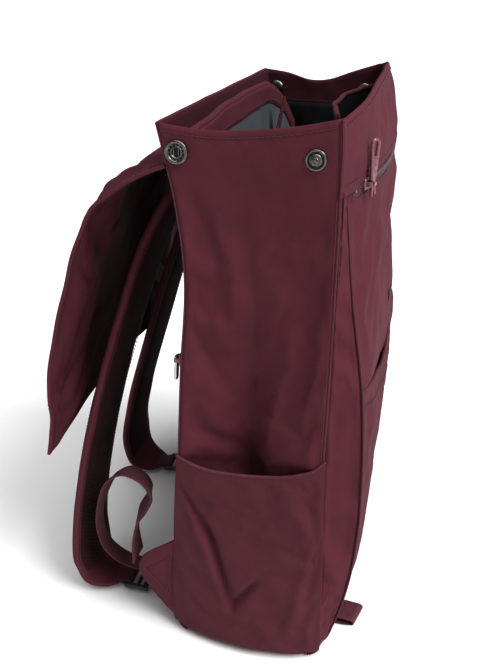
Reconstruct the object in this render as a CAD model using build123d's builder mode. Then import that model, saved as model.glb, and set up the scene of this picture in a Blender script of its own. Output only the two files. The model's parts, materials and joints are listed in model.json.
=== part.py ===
"""A flap-top travel backpack, standing open on its base, in millimetres.

+Z is up, the front faces -Y and the wearer's back is towards +Y. The origin is the middle of the base, on
the surface that the pack stands on. "left" is the -X side. The flap lies thrown back over both shoulder
straps, and it closes over the mouth by three fold lines.
"""

from build123d import *
import math
import os

os.makedirs("parts", exist_ok=True)

# ---- driving dimensions -------------------------------------------------------------------------------------
HALF_WIDTH = 142.0  # to the outside of a side panel
RIM = 430.0
FLOOR_PANEL = 3.0  # thickness of the bottom panel
CLOTH = 2.0  # shell cloth with its lining
GAP = 0.2  # between pieces that are sewn or glued together

# Height: how far the back edge, the front edge and the inward crease of a side panel lie from the middle.
LEVELS = [3, 40, 110, 190, 260, 340, 380, 430]
BACK = {3: 57, 40: 60, 110: 56, 190: 50.435, 260: 45.565, 340: 40, 380: 44, 430: 54}
FRONT = {3: -60, 40: -62, 110: -60, 190: -57, 260: -57, 340: -56.5, 380: -56, 430: -54}
CREASE = {3: 1, 40: 9, 110: 16, 190: 20, 260: 15, 340: 7, 380: 3, 430: 1}

# The front pouch: (height, y at its side edges, y in its middle).
POUCH_HALF = 130.0
POUCH = [
    (12, -65, -69),
    (30, -72, -75),
    (75, -81, -86),
    (130, -85, -90),
    (185, -84, -90),
    (258, -78, -90),
    (325, -66, -83),
    (385.5, -59, -77),
]
SLIP_TOP = 258.0
ABOVE_SLIP = [(262, -77.5, -83), (325, -66, -83), (385.5, -59, -77)]  # rows of the zip panel over that pocket
SLIP_DEPTH = 7.5  # how far the slip pocket stands off the zip panel in its middle
SLIP_EDGE_DIP = 5.0  # how far the zip panel behind it may hollow in between its side edges

# The front zip follows an arc in plan, so its slider turns about that arc's centre.
ZIP_Z = 391.0
ZIP_MID_Y, ZIP_EDGE_Y = -77.0, -59.0
ZIP_RADIUS = (POUCH_HALF**2 + (ZIP_EDGE_Y - ZIP_MID_Y) ** 2) / (2 * (ZIP_EDGE_Y - ZIP_MID_Y))
ZIP_CENTRE_Y = ZIP_MID_Y + ZIP_RADIUS
ZIP_BAND = 10.0  # height of the opening that the tapes fill
ZIP_HALF_ANGLE = 14.2  # degrees of arc from the middle to a stop
TAPE_HALF_ANGLE = 15.3
SLIDER_ANGLE = -12.4  # where the slider is parked

# The laptop compartment's zip runs up the straight stretch of the back panel's left edge.
SIDE_ZIP_X = -134.5
SIDE_ZIP_LOW, SIDE_ZIP_HIGH = 114.0, 336.0
SIDE_SLIDER_Z = 268.0
BACK_STRAIGHT_LOW, BACK_STRAIGHT_TOP = 110, 340  # the levels between which the back edge is one straight

# Zip sliders: a wing over the tape, two ears and a bar for the puller's eye.
WING_LOW, WING_THICK = 1.0, 1.4
EAR_PLACE = 3.4
BAR_RADIUS = 0.8
EYE_RADIUS = 2.1
BAIL_HEIGHT = 5.1  # the bar's middle over the zip
PULLER_LEAN = 14.0  # how far the front puller leans back against the band

SNAP_Y, SNAP_Z = 41.0, 412.0
SNAP_RADIUS = 8.0
POST_RADIUS = 2.0

POCKET_TOP = 186.0
BADGE_Z = 271.0
WEB = 20.0  # width of the adjuster webbing
WEB_THICK = 1.6

# The flap's cross-section at rest: its seam, two folds and its hem.
FLAP_HALF = 133.0
FLAP_SEAM = (51.5, 405.0)
FLAP_FOLDS = [(78.0, 391.0), (145.5, 274.0)]
FLAP_HEM = (168.0, 161.0)
FLAP_SHELL, FLAP_LINING = 1.5, 1.0

# Shoulder straps: stations down the middle of the pad.
STRAP_WIDTH = 60.0
STRAP_PAD, STRAP_MESH = 7.0, 2.5
STRAP_LEFT = [
    (-48, 51, 388),
    (-54, 66, 371),
    (-62, 79, 349),
    (-66, 89, 327),
    (-72, 102, 290),
    (-80, 117, 240),
    (-88, 131, 190),
    (-94, 142, 141),
    (-100, 152, 80),
    (-102, 154, 36),
    (-103, 147, 14),
    (-103, 136, 8.6),
    (-103, 126, 8.0),
]
STRAP_RIGHT = [
    (48, 51, 388),
    (52, 67, 371),
    (55, 82, 349),
    (57, 93, 327),
    (59, 107, 290),
    (61, 126, 240),
    (62, 142, 190),
    (63, 155, 150),
    (64, 171, 95),
    (65, 179, 45),
    (65, 172, 15),
    (65, 160, 8.6),
    (65, 149, 8.0),
]
# Adjuster webbing, from the ladder lock round its slack loop to the corner tab.
WEBBING_LEFT = [
    (-103, 93, 9),
    (-105, 84, 11),
    (-107, 77, 17),
    (-109, 76, 25),
    (-111, 82, 32),
    (-115, 98, 38),
    (-119, 116, 47),
    (-122, 129, 63),
    (-123, 133, 88),
    (-124, 126, 120),
    (-126, 113, 145),
    (-127, 100, 154),
    (-128, 86, 150),
    (-129, 79, 139),
    (-129, 83, 127),
    (-130, 91, 112),
    (-131, 95, 92),
    (-132, 94.5, 68),
]
WEBBING_RIGHT = [
    (65, 116, 9),
    (66, 107, 12),
    (68, 101, 19),
    (71, 102, 29),
    (76, 110, 38),
    (84, 122, 46),
    (96, 130, 54),
    (109, 127, 62),
    (120, 115, 67),
    (129, 101, 66),
]
TAB_TOP, TAB_LOW, TAB_TIP = 101.0, 16.0, 91.0  # corner tab: seam heights, and how far its tip reaches

FLEX = 7  # the station at which a strap's lower half can be bent up, just below the flap's hem
FLEX_GAP = 4.0  # from that point to the lower half's end, which clears the round end above it
LOCK_BAR = 2.0  # radius of the bar that the anchor webbing goes round
LOCK_LENGTH = 22.0


# ---- helpers ------------------------------------------------------------------------------------------------
def save(piece, name):
    piece.part.label = name
    export_step(piece.part, f"parts/{name}.step")


def at_height(table, z):
    """The table's value at height z, in straight stretches between its levels."""
    for low, high in zip(LEVELS, LEVELS[1:]):
        if low <= z <= high:
            share = (z - low) / (high - low)
            return table[low] + share * (table[high] - table[low])
    raise ValueError(z)


def heights(low, high):
    """The levels between two heights, with both ends."""
    return [low] + [z for z in LEVELS if low < z < high] + [high]


def wall(table, outer, inner, low, high, x_from, x_to):
    """A wall that follows one edge table, from outer to inner off it, between two heights and two x."""
    rows = heights(low, high)
    outline = [(at_height(table, z) + outer, z) for z in rows]
    outline += [(at_height(table, z) + inner, z) for z in reversed(rows)]
    with BuildPart() as piece:
        with BuildSketch(Plane.YZ.offset(x_from)):
            Polygon(*outline, align=None)
        extrude(amount=x_to - x_from)
    return piece


def crescent(half, edge, middle, edge_in, middle_in):
    """The face between two arcs in plan, each given by its y at the edges and in the middle."""
    with BuildSketch() as face:
        with BuildLine():
            ThreePointArc((-half, edge), (0, middle), (half, edge))
            Line((half, edge), (half, edge_in))
            ThreePointArc((half, edge_in), (0, middle_in), (-half, edge_in))
            Line((-half, edge_in), (-half, edge))
        make_face()
    return face.sketch


def bowed_panel(rows, half, edge_off, edge_in, middle_off, middle_in):
    """A panel bowed in plan, lofted through rows of (height, edge y, middle y)."""
    with BuildPart() as piece:
        for z, edge, middle in rows:
            with BuildSketch(Plane.XY.offset(z)):
                add(crescent(half, edge + edge_off, middle + middle_off, edge + edge_in, middle + middle_in))
        loft(ruled=True)
    return piece


def pouch_row(z):
    """(height, edge y, middle y) of the pouch at height z."""
    for (z0, e0, m0), (z1, e1, m1) in zip(POUCH, POUCH[1:]):
        if z0 <= z <= z1:
            share = (z - z0) / (z1 - z0)
            return (z, e0 + share * (e1 - e0), m0 + share * (m1 - m0))
    raise ValueError(z)


def stations(points):
    """Each point of a route with the way that the route runs there, seen from the side."""
    found = []
    for i, point in enumerate(points):
        before, after = points[max(i - 1, 0)], points[min(i + 1, len(points) - 1)]
        way = Vector(0, after[1] - before[1], after[2] - before[2]).normalized()
        found.append((Vector(*point), way))
    return found


def ribbon(route, widths, thick, offset=0.0):
    """A flat strap through a route's stations, its width along X; offset shifts it to its inner side."""
    sized = list(zip(route, widths))
    with BuildPart() as piece:
        for span in zip(sized, sized[1:]):
            for (point, way), width in span:
                with BuildSketch(Plane(origin=point, x_dir=(1, 0, 0), z_dir=way)):
                    with Locations((0, offset)):
                        Rectangle(width, thick)
            loft(ruled=True)
    return piece


# ---- the main bag -------------------------------------------------------------------------------------------
def side_panel(side):
    """One side panel, creased inwards, with holes for the posts of its two snaps."""
    with BuildPart() as panel:
        for z in LEVELS:
            back, front, depth = BACK[z] - CLOTH, FRONT[z] + CLOTH, CREASE[z]
            middle = (back + front) / 2
            outside, inside = HALF_WIDTH, HALF_WIDTH - CLOTH
            with BuildSketch(Plane.XY.offset(z)):
                Polygon(
                    (side * outside, back),
                    (side * (outside - depth), middle),
                    (side * outside, front),
                    (side * inside, front),
                    (side * (inside - depth), middle),
                    (side * inside, back),
                    align=None,
                )
        loft(ruled=True)
        for y in (-SNAP_Y, SNAP_Y):
            with Locations(Location((side * HALF_WIDTH, y, SNAP_Z), (0, 90, 0))):
                Cylinder(POST_RADIUS + GAP, 12 * CLOTH, mode=Mode.SUBTRACT)
    return panel


def bottom_panel():
    with BuildPart() as panel:
        with BuildSketch():
            with Locations((0, (BACK[3] + FRONT[3]) / 2)):
                RectangleRounded(2 * HALF_WIDTH - 6, BACK[3] - FRONT[3], 14)
        extrude(amount=FLOOR_PANEL - GAP)
    return panel


def base_board():
    """The stiffener that lies on the bottom panel, inside."""
    with BuildPart() as board:
        with BuildSketch(Plane.XY.offset(FLOOR_PANEL)):
            with Locations((0, -5)):
                RectangleRounded(2 * HALF_WIDTH - 14, 98, 6)
        extrude(amount=3)
    return board


def mouth_facing():
    """Four hem strips inside the rim, one on each wall."""
    top, low = RIM - 1, RIM - 31
    with BuildPart() as facing:
        for side in (-1, 1):
            with Locations((side * (HALF_WIDTH - 6.5), -2, (top + low) / 2)):
                Box(1.2, 84, top - low)
        for y in (-SNAP_Y, SNAP_Y):
            with Locations(Location((0, y, SNAP_Z), (0, 90, 0))):
                Cylinder(POST_RADIUS + GAP, 4 * HALF_WIDTH, mode=Mode.SUBTRACT)
    back = wall(BACK, -CLOTH - GAP, -CLOTH - 1.4, low, top, -HALF_WIDTH + 10, HALF_WIDTH - 10)
    front = bowed_panel([(low, -57, -75.5), (top, -54.4, -64.4)], 124, CLOTH + GAP, CLOTH + 1.4,
                        CLOTH + GAP, CLOTH + 1.4)
    with BuildPart() as whole:
        for piece in (facing, back, front):
            add(piece.part)
    return whole


def front_upper_band():
    """The shell above the front zip, with the shelf that closes the zip pocket's top."""
    low = ZIP_Z + ZIP_BAND / 2 + 1.5
    with BuildPart() as band:
        rows = [(low, ZIP_EDGE_Y + 1, ZIP_MID_Y + 1), (RIM, FRONT[430], -64)]
        for z, edge, middle in rows:
            with BuildSketch(Plane.XY.offset(z)):
                add(crescent(HALF_WIDTH - CLOTH, edge, middle, edge + CLOTH, middle + CLOTH))
        loft(ruled=True)
        with BuildSketch(Plane.XY.offset(low - 1.5)):
            with BuildLine():
                Line((-POUCH_HALF, ZIP_EDGE_Y + 1), (POUCH_HALF, ZIP_EDGE_Y + 1))
                ThreePointArc((POUCH_HALF, ZIP_EDGE_Y + 1), (0, ZIP_MID_Y + 1), (-POUCH_HALF, ZIP_EDGE_Y + 1))
            make_face()
        extrude(amount=1.5)
    return band


def laptop_divider():
    """The padded sleeve wall, upright and then leaning back towards the rim."""
    thick = 4
    line = [(14, 8), (14, 330), (27, 398)]
    outline = line + [(y + thick, z) for y, z in reversed(line)]
    with BuildPart() as divider:
        with BuildSketch(Plane.YZ.offset(-126)):
            Polygon(*outline, align=None)
        extrude(amount=252)
        top_corners = divider.edges().filter_by(Axis.Y).group_by(Axis.Z)[-1]
        if top_corners:
            fillet(top_corners, 2)
    return divider


def inner_slip_pocket():
    """A flat pocket on the inside of the front wall, open at its top."""
    outline = [(-53.8, 250), (-38, 250), (-38, 418), (-39.6, 418), (-39.6, 252), (-53.8, 252)]
    with BuildPart() as pocket:
        with BuildSketch(Plane.YZ.offset(-126)):
            Polygon(*outline, align=None)
        extrude(amount=252)
    return pocket


# ---- the front pouch ----------------------------------------------------------------------------------------
def front_gusset(side):
    """The pouch's side wall, from the body out to the pouch's edge."""
    rows = [row for row in POUCH if row[0] < 380] + [pouch_row(380)]
    inner_rows = heights(rows[0][0], rows[-1][0])
    inset = CLOTH + 1
    outline = [(edge + inset, z) for z, edge, _ in rows if edge + inset < at_height(FRONT, z) - 0.6]
    outline += [(at_height(FRONT, z) - GAP, z) for z in reversed(inner_rows)]
    with BuildPart() as gusset:
        with BuildSketch(Plane.YZ.offset(min(side * POUCH_HALF, side * (POUCH_HALF - 1.6)))):
            Polygon(*outline, align=None)
        extrude(amount=1.6)
    return gusset


def front_zip_panel():
    """The pouch's face, from the front zip down. Below the slip pocket's top it stands further in."""
    step = SLIP_DEPTH + CLOTH
    lower = [row for row in POUCH if row[0] <= SLIP_TOP]
    wall_limit = -CLOTH - 2 * GAP
    lower = [
        (z, edge, min(middle + step, edge + SLIP_EDGE_DIP, at_height(FRONT, z) + wall_limit))
        for z, edge, middle in lower
    ]
    return bowed_panel(lower + ABOVE_SLIP, POUCH_HALF, 0, 1.8, 0, 1.8)


def front_slip_pocket():
    """The open pocket across the pouch's lower half. It meets the zip panel at its side edges."""
    rows = [row for row in POUCH if row[0] <= SLIP_TOP]
    return bowed_panel(rows, POUCH_HALF - 2, -CLOTH, -GAP, 0, 1.8)


def zip_arc(radius, half_angle, low, high, thick):
    """A strip along the front zip's arc."""
    half_angle = math.radians(half_angle)

    def point(r, angle):
        return (r * math.sin(angle), ZIP_CENTRE_Y - r * math.cos(angle))

    with BuildPart() as strip:
        with BuildSketch(Plane.XY.offset(low)):
            with BuildLine():
                ThreePointArc(point(radius, -half_angle), point(radius, 0), point(radius, half_angle))
                Line(point(radius, half_angle), point(radius - thick, half_angle))
                ThreePointArc(point(radius - thick, half_angle), point(radius - thick, 0),
                              point(radius - thick, -half_angle))
                Line(point(radius - thick, -half_angle), point(radius, -half_angle))
            make_face()
        extrude(amount=high - low)
    return strip


def front_zip_tapes():
    edge = ZIP_BAND / 2 - GAP
    with BuildPart() as tapes:
        add(zip_arc(ZIP_RADIUS, TAPE_HALF_ANGLE, ZIP_Z - edge, ZIP_Z - 1.8, 1).part)
        add(zip_arc(ZIP_RADIUS, TAPE_HALF_ANGLE, ZIP_Z + 1.8, ZIP_Z + edge, 1).part)
    return tapes


def front_zip_stops():
    """A metal stop at each end of the coil."""
    with BuildPart() as stops:
        for side in (-1, 1):
            angle = math.radians(side * (ZIP_HALF_ANGLE + 0.5))
            place = (ZIP_RADIUS * math.sin(angle), ZIP_CENTRE_Y - ZIP_RADIUS * math.cos(angle), ZIP_Z)
            with Locations(Location(place, (0, 0, math.degrees(angle)))):
                Box(2.2, 2.6, 3.4)
    return stops


def front_zip_plane(angle):
    """At an angle along the front zip: local x runs along it, local z points out of the pouch."""
    sine, cosine = math.sin(math.radians(angle)), math.cos(math.radians(angle))
    origin = (ZIP_RADIUS * sine, ZIP_CENTRE_Y - ZIP_RADIUS * cosine, ZIP_Z)
    return Plane(origin=origin, x_dir=(cosine, sine, 0), z_dir=(sine, -cosine, 0))


def side_zip_plane(z):
    """At a height on the side zip: local x runs up it, local z points out of the back panel."""
    rise, lean = BACK_STRAIGHT_TOP - BACK_STRAIGHT_LOW, BACK[BACK_STRAIGHT_TOP] - BACK[BACK_STRAIGHT_LOW]
    return Plane(origin=(SIDE_ZIP_X, at_height(BACK, z), z), x_dir=(0, lean, rise), z_dir=(0, rise, -lean))


def bail_centre(plane):
    return plane.from_local_coords((0, 0, BAIL_HEIGHT))


def zip_slider(plane, bar_turn):
    """A slider's front wing with two ears and the bar that its puller turns on.

    The bar lies along the zip at a turn of 0 and across it at 90.
    """
    with BuildPart() as slider:
        with BuildSketch(plane.offset(WING_LOW)):
            RectangleRounded(11, 8, 2.4)
        extrude(amount=WING_THICK)
        with BuildSketch(plane.offset(WING_LOW + WING_THICK)):
            with Locations(Location((0, 0, 0), (0, 0, bar_turn))):
                with Locations((-EAR_PLACE, 0), (EAR_PLACE, 0)):
                    Rectangle(1.2, 3)
        extrude(amount=BAIL_HEIGHT + 1 - WING_LOW - WING_THICK)
        bar_dir = plane.x_dir if bar_turn == 0 else plane.y_dir
        with Locations(Plane(origin=bail_centre(plane), x_dir=plane.z_dir, z_dir=bar_dir).location):
            Cylinder(BAR_RADIUS, 2 * EAR_PLACE)
    return slider


def zip_puller(pivot, bar_dir, reach_dir, length, width, thick, slot):
    """A flat pull with an eye round the slider's bar and a slot, (middle, length, width), near its end."""
    flat = Plane(origin=pivot, x_dir=bar_dir, z_dir=Vector(*bar_dir).cross(Vector(*reach_dir)))
    along_bar = Plane(origin=pivot, x_dir=reach_dir, z_dir=bar_dir).location
    with BuildPart() as puller:
        with BuildSketch(flat):
            with Locations((0, 1 + length / 2)):
                SlotOverall(length, width, rotation=90)
            with Locations((0, slot[0])):
                SlotOverall(slot[1], slot[2], rotation=90, mode=Mode.SUBTRACT)
        extrude(amount=thick / 2, both=True)
        with Locations(along_bar):
            Cylinder(EYE_RADIUS, 2 * EYE_RADIUS)
        with Locations(along_bar):
            Cylinder(BAR_RADIUS + 0.3, 4 * EYE_RADIUS, mode=Mode.SUBTRACT)
    return puller


def front_puller():
    """A moulded pull, flipped up against the band above the zip."""
    plane = front_zip_plane(SLIDER_ANGLE)
    lean = math.radians(PULLER_LEAN)
    reach = Vector(0, 0, 1) * math.cos(lean) - plane.z_dir * math.sin(lean)
    return zip_puller(bail_centre(plane), plane.x_dir, reach, 27, 5.6, 1.6, (20, 11, 2.2))


def side_puller():
    """A small flat metal pull that hangs from the side zip's slider."""
    plane = side_zip_plane(SIDE_SLIDER_Z)
    return zip_puller(bail_centre(plane), Vector(1, 0, 0), Vector(0, 0, -1), 20, 5, 1.4, (17, 3, 2.4))


# ---- pockets, snaps and small parts -------------------------------------------------------------------------
def side_pocket(side):
    """The bottle pocket: a flat wall across the creased side panel, with a sagging top edge."""
    rows = heights(FLOOR_PANEL, POCKET_TOP)
    outline = [(at_height(BACK, z) - CLOTH, z) for z in rows]
    front = [(at_height(FRONT, z) + CLOTH, z) for z in rows]
    with BuildPart() as pocket:
        with BuildSketch(Plane.YZ.offset(side * (HALF_WIDTH + GAP))):
            with BuildLine():
                Polyline(*outline)
                ThreePointArc(outline[-1], (-6, POCKET_TOP - 5), front[-1])
                Polyline(*reversed(front))
                Line(front[0], outline[0])
            make_face()
        extrude(amount=side * 2.2)
    return pocket


def snap_place(side, y, off):
    """A place on the outside of a side panel, its local z along X."""
    return Location((side * (HALF_WIDTH + off), y, SNAP_Z), (0, 90, 0))


def snap_sockets():
    """The spring-snap socket on the outside of each side panel, near the back."""
    with BuildPart() as sockets:
        for side in (-1, 1):
            with Locations(snap_place(side, SNAP_Y, 1.4)):
                Cylinder(SNAP_RADIUS, 2.4)
            with Locations(snap_place(side, SNAP_Y, 2.4)):
                Cylinder(SNAP_RADIUS - 1.4, 2)
        for side in (-1, 1):
            with Locations(snap_place(side, SNAP_Y, 1.4)):
                Cylinder(2.9, 12, mode=Mode.SUBTRACT)
    return sockets


def snap_studs():
    """The stud near the front of each side that the socket closes on when the side is folded in."""
    with BuildPart() as studs:
        for side in (-1, 1):
            with Locations(snap_place(side, -SNAP_Y, 0.9)):
                Cylinder(SNAP_RADIUS, 1.4)
            with Locations(snap_place(side, -SNAP_Y, 3.1)):
                Cylinder(2.7, 3.2)
            with Locations(snap_place(side, -SNAP_Y, 0)):
                Cylinder(POST_RADIUS + GAP, 6, mode=Mode.SUBTRACT)
    return studs


def snap_caps():
    """The four caps inside the rim, each with the post that goes through the cloth and is set in its snap."""
    with BuildPart() as caps:
        for side in (-1, 1):
            for y in (-SNAP_Y, SNAP_Y):
                with Locations(Location((side * (HALF_WIDTH - 8.0), y, SNAP_Z), (0, 90, 0))):
                    Cylinder(6.4, 1.4)
                reach = 9.0
                with Locations(Location((side * (HALF_WIDTH - 8.0 + reach / 2), y, SNAP_Z), (0, 90, 0))):
                    Cylinder(POST_RADIUS, reach)
    return caps


def corner_tab(side):
    """The sewn triangle at the foot of the back seam that holds the adjuster webbing."""
    with BuildPart() as tab:
        with BuildSketch(Plane.YZ.offset(side * (HALF_WIDTH - 2.4))):
            Polygon(
                (at_height(BACK, TAB_LOW) + GAP, TAB_LOW),
                (TAB_TIP - 3, 50),
                (TAB_TIP, 72),
                (at_height(BACK, TAB_TOP) + GAP, TAB_TOP),
                (at_height(BACK, 40) + GAP, 40),
                align=None,
            )
        extrude(amount=side * -2.2)
    return tab


def badge_plate():
    """A blank plate on the pouch, over the slip pocket's mouth."""
    _, _, middle = ABOVE_SLIP[0]
    with BuildPart() as plate:
        with BuildSketch(Plane(origin=(3, middle - GAP, BADGE_Z), x_dir=(1, 0, 0), z_dir=(0, -1, 0))):
            RectangleRounded(36, 18, 2)
        extrude(amount=1.6)
    return plate


def side_zip_strip(x_from, x_to, outer, inner):
    return wall(BACK, outer, inner, SIDE_ZIP_LOW, SIDE_ZIP_HIGH, x_from, x_to)


def side_zip_tapes():
    with BuildPart() as tapes:
        add(side_zip_strip(SIDE_ZIP_X - 5, SIDE_ZIP_X - 1.8, 0.8, GAP).part)
        add(side_zip_strip(SIDE_ZIP_X + 1.8, SIDE_ZIP_X + 5, 0.8, GAP).part)
    return tapes


def bottom_loop():
    """A folded webbing tab that lies out on the ground from the foot of the front-left corner."""
    with BuildPart() as loop:
        with BuildSketch(Plane.YZ.offset(-106)):
            with BuildLine():
                Line((-67, 2.4), (-90, 1.2))
                ThreePointArc((-90, 1.2), (-92.2, 3.4), (-90, 5.6))
                Line((-90, 5.6), (-67, 6.8))
                Line((-67, 6.8), (-67, 2.4))
            make_face()
        extrude(amount=27)
    return loop


# ---- the flap -----------------------------------------------------------------------------------------------
def flap_leaf(start, end, last):
    """(shell, lining) of one stiff leaf of the flap. It starts clear of its fold and ends in a round nose."""
    length = math.hypot(end[0] - start[0], end[1] - start[1])
    angle = math.degrees(math.atan2(end[1] - start[1], end[0] - start[0]))
    clear = 2.0
    total = FLAP_SHELL + FLAP_LINING
    leaf_plane = Plane(origin=(-FLAP_HALF, *start), x_dir=(0, math.cos(math.radians(angle)),
                       math.sin(math.radians(angle))), z_dir=(1, 0, 0))
    middle = FLAP_SHELL - total / 2  # the shell faces down at rest and the lining up
    with BuildPart() as shell:
        with BuildSketch(leaf_plane):
            with Locations(((clear + length) / 2, (middle - FLAP_SHELL + middle) / 2)):
                Rectangle(length - clear, FLAP_SHELL)
            if not last:
                with Locations((length, 0)):
                    Circle(total / 2)
        extrude(amount=2 * FLAP_HALF)
    with BuildPart() as lining:
        with BuildSketch(leaf_plane):
            with Locations(((clear + length - total) / 2, middle + 0.02 + FLAP_LINING / 2)):
                Rectangle(length - clear - total, FLAP_LINING)
        extrude(amount=2 * FLAP_HALF)
    return shell, lining


def flap_seam_piping():
    """The corded seam that the flap turns on, carried by a strip sewn to the back panel."""
    with BuildPart() as piping:
        with BuildSketch(Plane.YZ.offset(-FLAP_HALF)):
            with Locations(FLAP_SEAM):
                Circle(1.4)
            with Locations((FLAP_SEAM[0] - 1.2, FLAP_SEAM[1] - 2.4)):
                Rectangle(0.9, 5)
        extrude(amount=2 * FLAP_HALF)
    return piping


# ---- straps -------------------------------------------------------------------------------------------------
def strap_widths(points):
    """Full width down the pad, drawn in at the root and at the end."""
    widths = [STRAP_WIDTH] * len(points)
    widths[0], widths[1] = 50, 56
    widths[-3:] = [52, 42, 32]
    return widths


def strap_halves(points):
    """The pad and its mesh above and below the flex point, which the lower half turns about."""
    widths = strap_widths(points)
    mesh_widths = [width - 8 for width in widths]
    mesh_offset = (STRAP_PAD + STRAP_MESH) / 2 + GAP
    route = stations(points)
    flex, way = route[FLEX]
    above, below = (flex - way * FLEX_GAP, way), (flex + way * FLEX_GAP, way)
    with BuildPart() as upper_pad:
        add(ribbon(route[:FLEX + 1], widths, STRAP_PAD).part)
        with Locations(Location(points[FLEX], (0, 90, 0))):
            Cylinder(STRAP_PAD / 2, STRAP_WIDTH)
    upper_mesh = ribbon(route[2:FLEX] + [above], mesh_widths[2:], STRAP_MESH, mesh_offset)
    lower_pad = ribbon([below] + route[FLEX + 1:], widths[FLEX:], STRAP_PAD)
    lower_mesh = ribbon([below] + route[FLEX + 1:-1], mesh_widths[FLEX:], STRAP_MESH, mesh_offset)
    return upper_pad, upper_mesh, lower_pad, lower_mesh


def anchor(points):
    """The short webbing at the strap's end, looped round the ladder lock's bar."""
    x, y, z = points[-1]
    bar_y = y - 9
    with BuildPart() as loop:
        with BuildSketch(Plane.YZ.offset(x - WEB / 2)):
            with Locations((bar_y, z)):
                Circle(LOCK_BAR + 0.4 + WEB_THICK)
            with Locations((y - 4.35, z)):
                Rectangle(8.5, WEB_THICK * 2)
            with Locations((bar_y, z)):
                Circle(LOCK_BAR + 0.4, mode=Mode.SUBTRACT)
        extrude(amount=WEB)
    return loop


def ladder_lock(points):
    """A ladder lock: two rails, a round bar for the anchor, a middle bar and a wide thumb bar."""
    x, y, z = points[-1]
    bar_y = y - 9
    rail = 3.2
    with BuildPart() as lock:
        for side in (-1, 1):
            with Locations((x + side * (WEB / 2 + 0.5 + rail / 2), bar_y + 2.4 - LOCK_LENGTH / 2, z)):
                Box(rail, LOCK_LENGTH, 4.2)
        with Locations(Location((x, bar_y, z), (0, 90, 0))):
            Cylinder(LOCK_BAR, WEB + 2)
        with Locations((x, bar_y - 9.4, z - 0.6)):
            Box(WEB + 2, 3, 2.6)
        with Locations((x, bar_y - 17, z + 0.6)):
            Box(WEB + 2, 4.6, 2.6)
    return lock


# ---- build --------------------------------------------------------------------------------------------------
save(side_panel(-1), "side_panel_left")
save(side_panel(1), "side_panel_right")
save(bottom_panel(), "bottom_panel")
save(base_board(), "base_board")
save(wall(BACK, 0, -CLOTH, FLOOR_PANEL, RIM, -HALF_WIDTH, HALF_WIDTH), "back_panel_shell")
save(wall(BACK, -CLOTH - GAP, -CLOTH - 8, 9, 384, -132, 132), "back_foam")
save(wall(BACK, 6.4, GAP, 30, 352, -120, 120), "back_mesh_pad")
save(wall(BACK, 2.2, GAP, 360, 396, -92, 92), "strap_yoke")
save(wall(FRONT, 0, CLOTH, FLOOR_PANEL, ZIP_Z + 5, -HALF_WIDTH, HALF_WIDTH), "front_wall")
save(front_upper_band(), "front_upper_band")
save(mouth_facing(), "mouth_facing")
save(laptop_divider(), "laptop_divider")
save(inner_slip_pocket(), "inner_slip_pocket")

save(front_gusset(-1), "front_gusset_left")
save(front_gusset(1), "front_gusset_right")
save(front_zip_panel(), "front_zip_panel")
save(front_slip_pocket(), "front_slip_pocket")
save(front_zip_tapes(), "front_zip_tapes")
save(zip_arc(ZIP_RADIUS + 0.6, ZIP_HALF_ANGLE, ZIP_Z - 1.6, ZIP_Z + 1.6, 1.8), "front_zip_coil")
save(front_zip_stops(), "front_zip_stops")
save(zip_slider(front_zip_plane(SLIDER_ANGLE), 0), "front_zip_slider")
save(front_puller(), "front_zip_puller")
save(badge_plate(), "badge_plate")

for name, side in (("left", -1), ("right", 1)):
    save(side_pocket(side), f"side_pocket_{name}")
    save(corner_tab(side), f"corner_tab_{name}")
save(snap_sockets(), "snap_sockets")
save(snap_studs(), "snap_studs")
save(snap_caps(), "snap_caps")

save(side_zip_tapes(), "side_zip_tapes")
save(side_zip_strip(SIDE_ZIP_X - 1.6, SIDE_ZIP_X + 1.6, 0.9, GAP), "side_zip_coil")
save(zip_slider(side_zip_plane(SIDE_SLIDER_Z), 90), "side_zip_slider")
save(side_puller(), "side_zip_puller")
save(bottom_loop(), "bottom_loop")

save(flap_seam_piping(), "flap_seam_piping")
corners = [FLAP_SEAM, *FLAP_FOLDS, FLAP_HEM]
for leaf, start, end in zip(["root", "top", "drop"], corners, corners[1:]):
    shell, lining = flap_leaf(start, end, leaf == "drop")
    save(shell, f"flap_{leaf}_shell")
    save(lining, f"flap_{leaf}_lining")

for name, points, route in (
    ("left", STRAP_LEFT, WEBBING_LEFT),
    ("right", STRAP_RIGHT, WEBBING_RIGHT),
):
    upper_pad, upper_mesh, lower_pad, lower_mesh = strap_halves(points)
    save(upper_pad, f"strap_{name}_upper_pad")
    save(upper_mesh, f"strap_{name}_upper_mesh")
    save(lower_pad, f"strap_{name}_lower_pad")
    save(lower_mesh, f"strap_{name}_lower_mesh")
    save(anchor(points), f"strap_{name}_anchor")
    save(ladder_lock(points), f"ladder_lock_{name}")
    save(ribbon(stations(route), [WEB] * len(route), WEB_THICK), f"webbing_{name}")
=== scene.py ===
"""The looks of a flap-top travel backpack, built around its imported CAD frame.

All shapes are worked out in millimetres and become metres when a piece is made. +Z is up, the front pouch
faces -Y, the wearer's back is towards +Y, and "left" is the -X side, which the camera sees.
"""
import json
import math

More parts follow.
